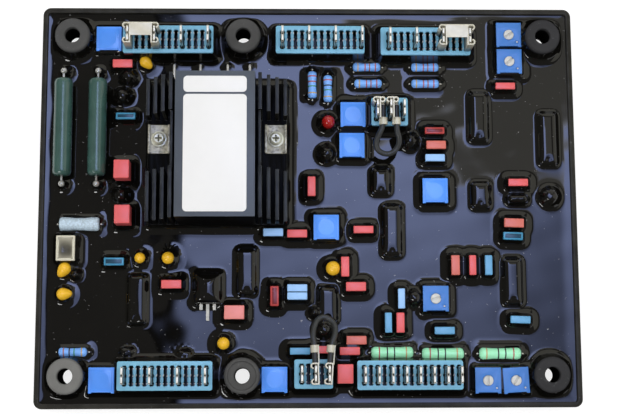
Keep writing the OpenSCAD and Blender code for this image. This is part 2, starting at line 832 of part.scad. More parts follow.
module clamp_screws() {
    shank_z = board_top + 1.5;
    color([0.55, 0.55, 0.57])
        for (s = [-1, 1])
            translate([sink_mid[0] + s * clamp_at[0], sink_mid[1] + clamp_at[1], 0])
                difference() {
                    rotate_extrude()
                        polygon([
                            [0, shank_z], [screw_d / 2, shank_z], [screw_d / 2, washer_top],
                            [screw_head_d / 2, washer_top],
                            [screw_head_d / 2, washer_top + screw_head_h / 2],
                            [screw_head_d / 2 - 0.7, washer_top + screw_head_h],
                            [0, washer_top + screw_head_h]
                        ]);
                    for (a = [0, 90])
                        rotate(a)
                            block(2.6, 0.6, washer_top + screw_head_h / 2, washer_top + 2 * screw_head_h);
                }
}

// label plate whose lower and upper edges are given from the middle of the heat sink
module label(lower, upper) {
    color([0.88, 0.89, 0.92])
        translate([sink_mid[0], sink_mid[1] + (lower + upper) / 2, 0])
            plate(label_width, upper - lower, label_corner, sink_top, sink_top + label_thick);
}

module label_small() {
    upper = sink_length / 2 - label_upper;
    label(upper - label_small_length, upper);
}

module label_large() {
    label(label_lower - sink_length / 2, sink_length / 2 - label_upper - label_small_length - label_gap);
}

// outline of one slot with its round widenings
module slot_outline() {
    square([slot_width, slot_length], center = true);
    for (s = [-1, 0, 1])
        translate([0, s * (slot_length - slot_eye) / 2])
            circle(d = slot_eye);
}

module terminal_block(i) {
    b = blocks[i];
    color([0.35, 0.62, 0.8])
        difference() {
            translate([block_x(b), block_y(b), 0])
                plate(block_length(b), block_width, 0.8, board_top, block_top);
            for (s = [0:b[2] - 1])
                translate([slot_x(i, s), block_y(b), slot_floor])
                    linear_extrude(slot_depth + over)
                        slot_outline();
        }
}

// upright blade with chamfered shoulders and a notched tip
module blade() {
    half = blade_width / 2;
    notch = blade_notch / 2;
    rotate([90, 0, 90])
        linear_extrude(blade_thick, center = true)
            polygon([
                [-half, slot_floor], [half, slot_floor], [half, blade_top - 1], [half - 0.6, blade_top],
                [notch, blade_top], [notch, blade_top - 2], [-notch, blade_top - 2], [-notch, blade_top],
                [0.6 - half, blade_top], [-half, blade_top - 1]
            ]);
}

module terminal_blades() {
    color([0.8, 0.78, 0.7])
        for (i = [0:len(blocks) - 1])
            for (s = [0:blocks[i][3]:blocks[i][2] - 1])
                translate([slot_x(i, s), block_y(blocks[i]), 0])
                    blade();
}

// sheet that backs a blade, with its ends rolled round to the far face, standing on the block
module receptacle(top, ends = [-1, 1]) {
    roll_x = -blade_thick / 2 - blade_gap;
    end_y = flag_half - sheet / 2;
    translate([back_x, 0, 0])
        block(sheet, 2 * flag_half, block_top, top);
    for (s = ends) {
        translate([(back_x - curl_r) / 2 + sheet / 4, s * end_y, 0])
            block(back_x + curl_r + sheet / 2, sheet, block_top, top);
        translate([roll_x, s * (flag_half - curl_r), 0])
            intersection() {
                difference() {
                    translate([0, 0, block_top])
                        cylinder(h = top - block_top, r = curl_r);
                    translate([0, 0, block_top - over])
                        cylinder(h = top - block_top + 2 * over, r = curl_r - sheet);
                }
                translate([-curl_r, 0, 0])
                    block(2 * curl_r, 4 * curl_r, block_top, top);
            }
    }
}

module link(i) {
    b = links[i][0];
    first = slot_x(b, links[i][1]);
    last = slot_x(b, links[i][2]);
    top = blade_top + 0.5;
    color([0.85, 0.82, 0.72])
        translate([0, block_y(blocks[b]), 0]) {
            translate([first, 0, 0])
                receptacle(top);
            translate([last, 0, 0])
                mirror([1, 0, 0])
                    receptacle(top);
            translate([(first + last) / 2, flag_half - bridge_width / 2, 0])
                block(last - first - 2 * back_x + sheet, bridge_width, top - sheet, top);
        }
}

// ring of sheet closed round the wire, which runs along Y
module crimp(length) {
    rotate([90, 0, 0])
        difference() {
            cylinder(h = length, d = wire_d + 2 * crimp_gap + 2 * sheet, center = true);
            cylinder(h = length + 2 * over, d = wire_d + 2 * crimp_gap, center = true);
        }
}

// receptacle whose wire lies beside its back and leaves downward along Y
module side_flag() {
    top = blade_top - 0.5;
    receptacle(top, [1]);
    translate([back_x, (crimp_1_end + flag_half) / 2, 0])
        block(sheet, flag_half - crimp_1_end, wire_z - 1, wire_z + 1);
    translate([wire_x, crimp_1_end + crimp_length / 2, wire_z])
        crimp(crimp_length);
    translate([wire_x - 0.4, wire_stop + sheet / 2, 0])
        block(wire_d - 0.4, sheet, wire_z - 1, wire_z + 1);
    translate([back_x + curl_r - sheet / 2, flag_half - curl_r, block_top])
        difference() {
            cylinder(h = top - block_top, r = curl_r);
            translate([0, 0, -over])
                cylinder(h = top - block_top + 2 * over, r = curl_r - sheet);
        }
}

// receptacle whose wire lies in line with the blade and leaves upward along Y
module end_flag() {
    strip_x = wire_d / 2 + crimp_gap + sheet / 2;
    strip_y = flag_half - sheet;
    receptacle(blade_top - 0.5);
    translate([strip_x, (strip_y + crimp_2_end) / 2, 0])
        block(sheet, crimp_2_end - strip_y, wire_z - 1, wire_z + 1);
    translate([0, crimp_2_end - crimp_length / 2, wire_z])
        crimp(crimp_length);
}

module flag_receptacles_1() {
    color([0.85, 0.82, 0.72])
        for (f = flags[0])
            translate([slot_x(f[0], f[1]), block_y(blocks[f[0]]), 0])
                rotate(f[2])
                    side_flag();
}

module flag_receptacles_2() {
    color([0.85, 0.82, 0.72])
        for (f = flags[1])
            translate([slot_x(f[0], f[1]), block_y(blocks[f[0]]), 0])
                rotate(f[2])
                    end_flag();
}

// direction of a route at one of its points
function route_dir(p, i) = let (a = p[max(i - 1, 0)], b = p[min(i + 1, len(p) - 1)]) (b - a) / norm(b - a);
// outline of the wire across a route at one of its points
function route_ring(p, i, r, n) = let (
    d = route_dir(p, i),
    u = cross(d, [0, 0, 1]) / norm(cross(d, [0, 0, 1])),
    v = cross(u, d)
) [for (k = [0:n - 1]) p[i] + r * cos((k + 0.5) * 360 / n) * u + r * sin((k + 0.5) * 360 / n) * v];

// round wire that follows a route
module wire(p, n = 8) {
    m = len(p);
    polyhedron(
        points = [for (i = [0:m - 1]) each route_ring(p, i, wire_d / 2, n)],
        faces = concat(
            [[for (k = [0:n - 1]) k], [for (k = [0:n - 1]) m * n - 1 - k]],
            [for (i = [0:m - 2], k = [0:n - 1]) [i * n + k, (i + 1) * n + k, i * n + (k + 1) % n]],
            [for (i = [0:m - 2], k = [0:n - 1])
                [i * n + (k + 1) % n, (i + 1) * n + k, (i + 1) * n + (k + 1) % n]]
        )
    );
}

module jumper_wire_1() {
    color([0.2, 0.21, 0.22])
        wire(wire_1);
}

module jumper_wire_2() {
    color([0.2, 0.21, 0.22])
        wire(wire_2);
}

// square trimmer body with small ribs at its lower corners
module trimmer_body() {
    difference() {
        block(trimmer_side, trimmer_side, board_top, trimmer_top);
        for (s = [-1, 1])
            translate([s * trimmer_side / 4, -trimmer_side / 2, 0])
                block(trimmer_side / 4, 0.8, board_top - over, trimmer_top + over);
        for (s = [-1, 1])
            translate([s * trimmer_side / 2, trimmer_side / 3.2, 0])
                block(0.8, 1, board_top - over, trimmer_top + over);
    }
}

module trimmer(i) {
    put(trimmers[i])
        rotate(trimmers[i][2])
            color([0.22, 0.42, 0.78])
                difference() {
                    trimmer_body();
                    translate([0, 0, trimmer_top + rotor_rise - rotor_thick])
                        cylinder(h = rotor_thick, d = rotor_d + 2 * rotor_gap);
                    translate([trimmer_side / 3, -trimmer_side / 3.4, trimmer_top - 0.3])
                        cylinder(h = 1, d = 1.2);
                }
}

module trimmer_rotor(i) {
    low = trimmer_top + rotor_rise - rotor_thick;
    put(trimmers[i])
        rotate(trimmers[i][2] + trimmers[i][3])
            color([0.9, 0.9, 0.88])
                difference() {
                    translate([0, 0, low])
                        cylinder(h = rotor_thick, d = rotor_d);
                    block(rotor_d + over, rotor_slot, low + rotor_thick / 2, low + 2 * rotor_thick);
                }
}

module sealed_trimmers() {
    color([0.22, 0.45, 0.9])
        at(sealed)
            trimmer_body();
}

module trimmer_seals() {
    side = trimmer_side - 1.8;
    color([0.25, 0.5, 0.95])
        at(sealed)
            plate(side, side, 0.6, trimmer_top, trimmer_top + seal_thick);
}

module film_capacitors_red() {
    color([0.75, 0.22, 0.24]) {
        for (c = red_films)
            put(c)
                rotate(c[2])
                    block(film_length, c[3], board_top, film_top);
        at(tall_films)
            block(tall_width, tall_length, board_top, tall_top);
    }
}

module film_capacitors_blue() {
    color([0.4, 0.6, 0.85])
        for (c = blue_films)
            put(c)
                rotate(c[2])
                    block(film_length, c[3], board_top, film_top);
}

// round bead on a neck
module bead(r) {
    rotate_extrude()
        polygon(concat(
            [[0, board_top], [bead_neck / 2, board_top]],
            [for (a = [-60:15:75]) [r * cos(a), bead_z + r * sin(a)]],
            [[0, bead_z + r]]
        ));
}

module tantalum_capacitors() {
    color([0.65, 0.36, 0.1])
        for (c = beads)
            put(c)
                bead(c[2]);
}

module indicator_lamp() {
    r = lamp_d / 2;
    dome_z = lamp_top - r;
    put(lamp_at)
        color([0.7, 0.08, 0.08])
            rotate_extrude()
                polygon(concat(
                    [[0, board_top], [r + 0.4, board_top], [r + 0.4, board_top + 1], [r, board_top + 1]],
                    [for (a = [0:15:75]) [r * cos(a), dome_z + r * sin(a)]],
                    [[0, lamp_top]]
                ));
}

// resistor body along X with fuller ends, on two bent leads
module resistor(d, length, waist) {
    r = d / 2;
    half = length / 2;
    post = half + lead_reach;
    translate([0, 0, resistor_z])
        rotate([0, 90, 0])
            rotate_extrude()
                polygon([
                    [0, -half], [0.6 * r, -half], [r, -half + 0.35 * r], [r, -half + 1.3 * r],
                    [waist * r, -half + 1.9 * r], [waist * r, half - 1.9 * r], [r, half - 1.3 * r],
                    [r, half - 0.35 * r], [0.6 * r, half], [0, half]
                ]);
    for (s = [-1, 1]) {
        translate([s * post, 0, board_top])
            cylinder(h = resistor_axis, d = wire_lead_d);
        translate([s * (half - 0.5), 0, resistor_z])
            rotate([0, s * 90, 0])
                cylinder(h = lead_reach + 0.5, d = wire_lead_d);
        translate([s * post, 0, resistor_z])
            sphere(d = wire_lead_d);
    }
}

module resistors_blue() {
    color([0.35, 0.55, 0.75])
        at(blue_rs, true)
            resistor(blue_d, blue_length, 0.9);
}

module resistors_green() {
    color([0.4, 0.7, 0.55])
        at(green_rs, true)
            resistor(green_d, green_length, 0.92);
}

module dog_bone_resistor() {
    color([0.62, 0.66, 0.72])
        put(bone_at)
            resistor(bone_d, bone_length, 0.9);
}

// long coated body along Y with rounded ends
module power_resistors() {
    r = power_d / 2;
    half = power_length / 2;
    color([0.1, 0.17, 0.13])
        for (p = power_rs)
            put(p)
                translate([0, 0, power_z])
                    rotate([90, 0, 0])
                        rotate_extrude()
                            polygon([
                                [0, -half], [r - 1.2, -half], [r - 0.35, 0.35 - half], [r, 1.2 - half],
                                [r, half - 1.2], [r - 0.35, half - 0.35], [r - 1.2, half], [0, half]
                            ]);
}

module power_resistor_leads() {
    half = power_length / 2;
    color([0.7, 0.7, 0.68])
        for (p = power_rs, s = [-1, 1])
            put(p)
                translate([0, s * half, 0]) {
                    translate([0, 0, power_z])
                        rotate([-s * 90, 0, 0])
                            cylinder(h = power_post, d = wire_lead_d);
                    translate([0, s * power_post, board_top])
                        cylinder(h = power_axis, d = post_d);
                    translate([0, s * power_post, power_z])
                        sphere(d = solder_d);
                }
}

module ceramic_box() {
    color([0.82, 0.78, 0.68])
        put(ceramic_at)
            difference() {
                block(ceramic_x, ceramic_y, board_top, ceramic_top);
                block(
                    ceramic_x - 2 * ceramic_wall, ceramic_y - 2 * ceramic_wall,
                    board_top + ceramic_wall, ceramic_top + over
                );
            }
}

module ceramic_fill() {
    color([0.45, 0.45, 0.44])
        put(ceramic_at)
            block(
                ceramic_x - 2 * ceramic_wall, ceramic_y - 2 * ceramic_wall,
                board_top + ceramic_wall, ceramic_top - 0.4
            );
}

module power_transistor() {
    pin_z = resin_level + 0.4;
    color([0.1, 0.1, 0.11])
        put(power_chip_at) {
            block(power_chip_x, power_chip_y, board_top, power_chip_top);
            for (p = power_pins)
                translate([p[0], -power_chip_y / 2, 0]) {
                    translate([0, -p[1] / 2, 0])
                        block(power_pin[0], p[1], pin_z, pin_z + power_pin[1]);
                    translate([0, power_pin[1] / 2 - p[1], 0])
                        block(power_pin[0], power_pin[1], board_top, pin_z + power_pin[1]);
                }
        }
}

module integrated_circuits() {
    color([0.08, 0.08, 0.09])
        for (c = chips)
            put(c)
                difference() {
                    block(chip_width, c[2], board_top, chip_top);
                    translate([0, c[2] / 2, chip_top - 0.6])
                        cylinder(h = 1, d = 1.8);
                }
}

module coated_parts() {
    color([0.08, 0.08, 0.09]) {
        for (c = coated)
            put(c)
                translate([0, 0, board_top])
                    cylinder(h = coated_height, r = c[2]);
        put(coated_film)
            block(coated_film[2], coated_film[3], board_top, coated_top);
    }
}

module diodes() {
    color([0.08, 0.08, 0.09])
        for (p = diodes_at)
            put(p)
                translate([-diode_length / 2, 0, board_top + diode_d / 2])
                    rotate([0, 90, 0])
                        cylinder(h = diode_length, d = diode_d);
}

tray();
circuit_board();
underfill();
potting();
for (i = [0:5]) mounting_bush(i);
power_module();
module_leads();
heat_sink();
clamp_plates();
clamp_washers();
clamp_screws();
label_small();
label_large();
for (i = [0:6]) terminal_block(i);
terminal_blades();
link(0);  // link_1
link(1);  // link_2
flag_receptacles_1();
flag_receptacles_2();
jumper_wire_1();
jumper_wire_2();
for (i = [0:4]) trimmer(i);
for (i = [0:4]) trimmer_rotor(i);
sealed_trimmers();
trimmer_seals();
film_capacitors_red();
film_capacitors_blue();
tantalum_capacitors();
indicator_lamp();
resistors_blue();
resistors_green();
dog_bone_resistor();
power_resistors();
power_resistor_leads();
ceramic_box();
ceramic_fill();
power_transistor();
integrated_circuits();
coated_parts();
diodes();
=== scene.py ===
"""Dresses the frame of a potted generator voltage regulator and sets its stage."""

import math

import bmesh
import bpy
import numpy as np
from bpy.props import FloatProperty, FloatVectorProperty, IntProperty, PointerProperty
from mathutils import Matrix, Vector


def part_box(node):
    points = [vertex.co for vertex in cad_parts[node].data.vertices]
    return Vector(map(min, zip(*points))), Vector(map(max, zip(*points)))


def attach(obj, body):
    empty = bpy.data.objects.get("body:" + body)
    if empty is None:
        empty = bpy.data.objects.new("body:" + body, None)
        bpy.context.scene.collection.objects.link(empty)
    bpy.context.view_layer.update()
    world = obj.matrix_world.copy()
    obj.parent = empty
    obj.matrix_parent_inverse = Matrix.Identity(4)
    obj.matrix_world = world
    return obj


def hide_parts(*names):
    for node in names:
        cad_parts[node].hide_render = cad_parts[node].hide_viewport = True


bl_info = {
    "name": "Potted voltage regulator",
    "version": (1, 0, 0),
    "blender": (4, 5, 0),
    "location": "3D View > Sidebar > Regulator",
    "description": "Dresses a potted voltage regulator and sets its stage",
    "category": "Object",
}

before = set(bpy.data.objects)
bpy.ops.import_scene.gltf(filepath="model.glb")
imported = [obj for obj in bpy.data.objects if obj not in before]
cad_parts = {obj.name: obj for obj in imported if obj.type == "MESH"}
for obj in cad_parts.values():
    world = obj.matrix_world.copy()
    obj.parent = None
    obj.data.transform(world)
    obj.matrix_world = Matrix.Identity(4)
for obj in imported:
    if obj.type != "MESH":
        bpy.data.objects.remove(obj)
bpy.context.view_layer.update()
MM = 0.001
BODY = "regulator"
TERMINAL_BLOCKS = [f"terminal_block_{i}" for i in range(1, 8)]
BUSHES = [f"mounting_bush_{i}" for i in range(1, 7)]
TRIMMERS = [f"trimmer_{i}" for i in range(1, 6)]
WIRE_Z = 20.2
PIN_EDGE = -37.45 * MM
TRIMMER_MARK = (3.2 * MM, -2.82 * MM)
JUMPER_ROUTES = {
    "jumper_wire_1": (
        (27.8, 36, 0), (27.8, 28.55, 0), (26.5, 25.5, -0.5), (25, 22.5, -1.5), (25.5, 19.5, -2.5),
        (28, 18, -3), (31, 18, -3), (33.5, 20.5, -2.5), (34, 23.5, -1.5), (33, 26, -0.5),
        (32.8, 28.55, 0), (32.8, 36, 0),
    ),
    "jumper_wire_2": (
        (1.86, -60.05, 0), (1.64, -53.56, 0), (1, -50, -0.5), (1.5, -47, -1.5), (2.5, -44.5, -2.5),
        (4.5, -43, -3), (7, -43.5, -3), (9, -45.5, -2.5), (9.5, -48, -1.5), (9, -50.5, -0.5),
        (7.73, -53.58, 0), (7.28, -60.06, 0),
    ),
}


def display(red, green, blue):
    """Gives the linear colour of a display colour written from 0 to 255."""
    return tuple(
        v / 12.92 if v <= 0.04045 else ((v + 0.055) / 1.055) ** 2.4
        for v in (red / 255, green / 255, blue / 255)
    )


def size_property(name, description, value):
    """A length in metres, written in millimetres."""
    return FloatProperty(
        name=name, description=description, default=value * MM, min=0.0, unit="LENGTH", precision=5
    )


def colour_property(name, description, colour):
    """A colour written as it shows on a display."""
    return FloatVectorProperty(
        name=name, description=description, default=display(*colour), size=3,
        min=0.0, max=1.0, subtype="COLOR",
    )


class RegulatorSizes(bpy.types.PropertyGroup):
    """Sizes of the dressed surfaces."""

    resin_depth: size_property("Resin depth", "Resin over the board, away from the parts", 3)
    resin_grid: size_property("Resin grid", "Distance between the points of the resin surface", 0.65)
    resin_reach: size_property("Resin reach", "Width of the slope where resin climbs a part", 3.6)
    resin_skin: size_property("Resin skin", "Resin over the covered parts", 0.5)
    wall_climb: size_property("Wall climb", "How far resin climbs the tray wall", 0.25)
    wall_reach: size_property("Wall reach", "Width of the slope where resin climbs the tray wall", 4.5)
    block_edge: size_property("Block edge", "Rounding of the terminal blocks", 0.22)
    part_edge: size_property("Part edge", "Rounding of the small moulded parts", 0.35)
    metal_edge: size_property("Metal edge", "Rounding of the sheet metal", 0.1)
    sink_edge: size_property("Heat sink edge", "Rounding of the heat sink", 0.2)
    tray_edge: size_property("Tray edge", "Rounding of the tray rim", 0.6)
    wire_diameter: size_property("Wire diameter", "Diameter of the jumper wires", 2.1)
    round_steps: IntProperty(
        name="Round steps", description="Facets round a turned piece", default=48, min=16, max=128
    )


class RegulatorColours(bpy.types.PropertyGroup):
    """Colours of the dressed surfaces."""

    resin: colour_property("Resin", "Potting resin", (13, 12, 10))
    tray: colour_property("Tray", "Moulded tray", (46, 45, 41))
    bush: colour_property("Bushes", "Moulded bushes", (82, 82, 82))
    sink: colour_property("Heat sink", "Anodised heat sink", (74, 81, 92))
    label: colour_property("Label", "Bare label plates", (236, 236, 236))
    block: colour_property("Blocks", "Terminal blocks", (116, 178, 208))
    tin: colour_property("Tin", "Tinned sheet metal", (208, 204, 186))
    wire: colour_property("Wire", "Sleeve of the jumper wires", (46, 48, 48))
    trimmer: colour_property("Trimmers", "Adjustable trimmers", (65, 124, 204))
    seal: colour_property("Seals", "Film of the sealed trimmers", (85, 153, 255))
    rotor: colour_property("Rotors", "Trimmer rotors", (206, 206, 202))
    film_red: colour_property("Red capacitors", "Red film capacitors", (224, 96, 98))
    film_blue: colour_property("Blue capacitors", "Blue film capacitors", (100, 164, 209))
    bead: colour_property("Beads", "Tantalum beads", (238, 186, 44))
    lamp: colour_property("Lamp", "Indicator lamp", (186, 32, 30))
    lacquer_blue: colour_property("Blue resistors", "Blue resistor lacquer", (122, 176, 250))
    lacquer_green: colour_property("Green resistors", "Green resistor lacquer", (166, 244, 199))
    lacquer_grey: colour_property("Grey resistor", "Dog-bone resistor lacquer", (187, 207, 222))
    enamel: colour_property("Enamel", "Power resistor enamel", (56, 86, 80))
    ceramic: colour_property("Ceramic", "Ceramic box", (208, 204, 184))
    coating: colour_property("Coating", "Coated black parts", (22, 22, 24))
    floor: colour_property("Floor", "Floor under the regulator", (150, 150, 150))


def sizes():
    """The sizes in the scene."""
    return bpy.context.scene.regulator_sizes


def colours():
    """The colours in the scene."""
    return bpy.context.scene.regulator_colours


# Shader nodes

GREY = (0.5, 0.5, 0.5, 1)
WHITE = (1, 1, 1, 1)
OUTPUT_KINDS = {"Color": "Color", "Roughness": "Float", "Normal": "Vector"}


def feed(tree, socket, value):
    """Links an input to another socket, or sets it to a number or a colour."""
    if isinstance(value, bpy.types.NodeSocket):
        tree.links.new(value, socket)
    else:
        socket.default_value = value


def add_node(tree, kind, *inputs, **values):
    """Adds a node, sets its fields, or its inputs where no such field exists, and feeds its first inputs."""
    node = tree.nodes.new(f"ShaderNode{kind}")
    for key, value in values.items():
        if hasattr(node, key):
            setattr(node, key, value)
        else:
            feed(tree, node.inputs[key.replace("_", " ")], value)
    for socket, value in zip(node.inputs, inputs):
        feed(tree, socket, value)
    return node


def calc(tree, operation, *inputs, use_clamp=False):
    """Adds a calculation and gives its result."""
    return add_node(tree, "Math", *inputs, operation=operation, use_clamp=use_clamp).outputs[0]


def blend(tree, factor, first, second):
    """Adds a mix of two colours and gives its result."""
    return add_node(tree, "Mix", data_type="RGBA", Factor=factor, A=first, B=second).outputs["Result"]


def object_axes(tree):
    """Gives the object coordinates as a socket for each axis."""
    return add_node(tree, "SeparateXYZ", add_node(tree, "TexCoord").outputs["Object"]).outputs


def noise(tree, scale, detail, stretch=None):
    """Adds a noise in object coordinates and gives its value."""
    place = add_node(tree, "TexCoord").outputs["Object"]
    if stretch is not None:
        place = add_node(tree, "VectorMath", place, stretch, operation="MULTIPLY").outputs[0]
    return add_node(tree, "TexNoise", Vector=place, Scale=scale, Detail=detail).outputs["Fac"]


def shared_group(name, inputs, outputs, build):
    """Gives a shader group by its name, and builds it where it isn't there yet."""
    if name in bpy.data.node_groups:
        return bpy.data.node_groups[name]
    group = bpy.data.node_groups.new(name, "ShaderNodeTree")
    for socket, value in inputs.items():
        kind = "Float" if isinstance(value, float) else "Color" if len(value) == 4 else "Vector"
        made = group.interface.new_socket(socket, in_out="INPUT", socket_type=f"NodeSocket{kind}")
        made.default_value = value
    for socket in outputs:
        kind = OUTPUT_KINDS[socket]
        group.interface.new_socket(socket, in_out="OUTPUT", socket_type=f"NodeSocket{kind}")
    start, end = group.nodes.new("NodeGroupInput"), group.nodes.new("NodeGroupOutput")
    for socket, value in build(group, start.outputs).items():
        feed(group, end.inputs[socket], value)
    return group


def variation_group():
    """Uneven colour and gloss of a moulded or lacquered surface."""

    def build(tree, start):
        swing = calc(tree, "SUBTRACT", noise(tree, start["Scale"], 4.0), 0.5)
        gain = calc(tree, "MULTIPLY_ADD", calc(tree, "MULTIPLY", swing, start["Amount"]), 4.0, 1.0)
        tint = add_node(tree, "VectorMath", start["Color"], operation="SCALE", Scale=gain)
        rough = calc(tree, "MULTIPLY_ADD", swing, start["Spread"], start["Roughness"], use_clamp=True)
        return {"Color": tint.outputs[0], "Roughness": rough}

    inputs = {"Color": GREY, "Amount": 0.1, "Scale": 200.0, "Roughness": 0.4, "Spread": 0.1}
    return shared_group("Surface variation", inputs, ("Color", "Roughness"), build)


def grain_group():
    """Fine relief of a moulded or cast surface."""

    def build(tree, start):
        height = noise(tree, start["Scale"], 3.0, start["Stretch"])
        bump = add_node(tree, "Bump", Distance=0.0002, Height=height, Strength=start["Depth"])
        return {"Normal": bump.outputs["Normal"]}

    inputs = {"Scale": 1500.0, "Depth": 0.1, "Stretch": (1.0, 1.0, 1.0)}
    return shared_group("Fine relief", inputs, ("Normal",), build)


def dust_group():
    """Specks that settle on the faces that look up; on the nickel plates, large dark specks are a painted
    reflection.
    """

    def build(tree, start):
        specks = add_node(
            tree, "MapRange", Value=noise(tree, start["Scale"], 2.0),
            From_Min=start["Least"], From_Max=start["Most"],
        )
        facing = add_node(tree, "SeparateXYZ", add_node(tree, "NewGeometry").outputs["Normal"])
        upward = calc(tree, "MULTIPLY", facing.outputs["Z"], specks.outputs[0], use_clamp=True)
        share = calc(tree, "MULTIPLY", upward, start["Amount"])
        return {"Color": blend(tree, share, start["Color"], start["Dust"])}

    inputs = {"Color": GREY, "Dust": GREY, "Amount": 0.3, "Scale": 900.0, "Least": 0.66, "Most": 0.78}
    return shared_group("Settled dust", inputs, ("Color",), build)


def depth_group():
    """Painted shade: colour that changes to a darker one below a height."""

    def build(tree, start):
        height = add_node(
            tree, "MapRange", interpolation_type="SMOOTHSTEP", Value=object_axes(tree)["Z"],
            From_Min=start["Bottom"], From_Max=start["Top"],
        )
        return {"Color": blend(tree, height.outputs[0], start["Deep"], start["Color"])}

    inputs = {"Color": GREY, "Deep": (0.0, 0.0, 0.0, 1), "Top": 0.016, "Bottom": 0.014}
    return shared_group("Depth shade", inputs, ("Color",), build)


def place_group(tree, group, **values):
    """Places a group in a material with its own values, and gives its outputs."""
    node = tree.nodes.new("ShaderNodeGroup")
    node.node_tree = group
    for key, value in values.items():
        feed(tree, node.inputs[key], value)
    return node.outputs


def finish(
    name, colour, rough, amount=0.06, scale=220.0, spread=0.12, relief=0.06, relief_scale=1800.0,
    stretch=(1, 1, 1), dust_and_reflection=0.0, specks=(0.66, 0.78), dust_and_reflection_colour=(150, 150, 152), depth=None, **sockets,
):
    """Makes a material with uneven colour and gloss, fine relief and, where asked, specks that settle on its
    upward faces, which on the nickel plates are a painted reflection, and painted shade below a height.

    The colour is the name of one of the regulator's colours, or a display colour.
    """
    plain = getattr(colours(), colour) if isinstance(colour, str) else display(*colour)
    plain = (*plain, 1)
    made = bpy.data.materials.new(name)
    made.use_nodes = True
    made.diffuse_color = plain
    tree = made.node_tree
    uneven = place_group(
        tree, variation_group(), Color=plain, Amount=amount, Scale=scale, Roughness=rough, Spread=spread
    )
    shade = uneven["Color"]
    if dust_and_reflection:
        shade = place_group(
            tree, dust_group(), Color=shade, Amount=dust_and_reflection, Dust=(*display(*dust_and_reflection_colour), 1), Least=specks[0],
            Most=specks[1],
        )["Color"]
    if depth:
        bottom, top, deep = depth
        shade = place_group(
            tree, depth_group(), Color=shade, Bottom=bottom, Top=top, Deep=(*display(*deep), 1)
        )["Color"]
    grain = place_group(tree, grain_group(), Scale=relief_scale, Depth=relief, Stretch=stretch)
    sockets.update(Base_Color=shade, Roughness=uneven["Roughness"], Normal=grain["Normal"])
    shader = tree.nodes["Principled BSDF"]
    for key, value in sockets.items():
        feed(tree, shader.inputs[key.replace("_", " ")], value)
    return made


# Mesh helpers


def node_points(node):
    """Gives a node's welded corner points and its edges between them."""
    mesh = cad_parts[node].data
    points = np.empty(len(mesh.vertices) * 3)
    mesh.vertices.foreach_get("co", points)
    edges = np.empty(len(mesh.edges) * 2, dtype=np.int64)
    mesh.edges.foreach_get("vertices", edges)
    welded, place = np.unique(np.round(points.reshape(-1, 3), 6), axis=0, return_inverse=True)
    return welded, place.reshape(-1)[edges].reshape(-1, 2)


def islands(node):
    """Gives the points of each separate solid of a node, in a settled order."""
    points, edges = node_points(node)
    label = np.arange(len(points))
    while True:
        low = np.minimum(label[edges[:, 0]], label[edges[:, 1]])
        before = label.copy()
        np.minimum.at(label, edges[:, 0], low)
        np.minimum.at(label, edges[:, 1], low)
        label = label[label]
        if np.array_equal(before, label):
            break
    solids = [points[label == value] for value in np.unique(label)]
    return sorted(solids, key=lambda p: tuple(np.round(p.mean(0), 5)))


class Foot:
    """The outline of a solid on the board: middle, half sizes, turn, and its lowest and highest point."""

    def __init__(self, points):
        best = None
        for degrees in (0, -2, 2, 3, -3, 4, -4):
            turn = math.radians(degrees)
            along = points[:, 0] * math.cos(turn) + points[:, 1] * math.sin(turn)
            across = points[:, 1] * math.cos(turn) - points[:, 0] * math.sin(turn)
            area = np.ptp(along) * np.ptp(across)
            if best is None or area < best[0] * 0.995:
                best = (area, turn, along, across)
        _, self.turn, along, across = best
        mid = (along.min() + along.max()) / 2, (across.min() + across.max()) / 2
        self.x = mid[0] * math.cos(self.turn) - mid[1] * math.sin(self.turn)
        self.y = mid[0] * math.sin(self.turn) + mid[1] * math.cos(self.turn)
        self.half_x = np.ptp(along) / 2
        self.half_y = np.ptp(across) / 2
        self.low = points[:, 2].min()
        self.high = points[:, 2].max()

    @property
    def half(self):
        """Half sizes along and across the outline."""
        return self.half_x, self.half_y

    def at(self, z=0.0):
        """Placement at the middle of the outline, without its turn."""
        return Matrix.Translation((self.x, self.y, z))

    def matrix(self):
        """Placement of the outline in the frame."""
        return self.at() @ Matrix.Rotation(self.turn, 4, "Z")

    def distance(self, px, py, corner):
        """Signed distance from points to the outline with rounded corners."""
        dx, dy = px - self.x, py - self.y
        along = np.abs(dx * math.cos(self.turn) + dy * math.sin(self.turn)) - self.half_x + corner
        across = np.abs(dy * math.cos(self.turn) - dx * math.sin(self.turn)) - self.half_y + corner
        outside = np.hypot(np.maximum(along, 0), np.maximum(across, 0))
        return outside + np.minimum(np.maximum(along, across), 0) - corner


def feet(*nodes):
    """Gives the outline of each solid of some nodes."""
    return [Foot(points) for node in nodes for points in islands(node)]


def square_foot(x, y, half):
    """The outline of a square at a place."""
    return Foot(np.array([(x + i * half, y + j * half, 0) for i in (-1, 1) for j in (-1, 1)]))


def transistor_body():
    """The outline of the power transistor without its pins."""
    return Foot(np.array([p for p in islands("power_transistor")[0] if p[1] > PIN_EDGE - 0.15 * MM]))


def add_object(name, data, materials):
    """Adds an object with its materials to the scene."""
    made = bpy.data.objects.new(name, data)
    for material in materials:
        data.materials.append(material)
    bpy.context.scene.collection.objects.link(made)
    return made


def mesh_from(work, name, smooth_angle=35):
    """Turns a bmesh into a mesh with soft and sharp edges."""
    bmesh.ops.recalc_face_normals(work, faces=work.faces)
    mesh = bpy.data.meshes.new(name)
    work.to_mesh(mesh)
    work.free()
    mesh.shade_smooth()
    mesh.set_sharp_from_angle(angle=math.radians(smooth_angle))
    return mesh


def place_piece(piece, nodes=(), body=BODY):
    """Makes a piece ride on its body and stand for its nodes."""
    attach(piece, body)
    if nodes:
        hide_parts(*nodes)
    return piece


def made_piece(work, name, materials, nodes=(), smooth_angle=35, body=BODY):
    """Turns a bmesh into a piece."""
    mesh = mesh_from(work, name, smooth_angle)
    return place_piece(add_object(name, mesh, materials), nodes, body)


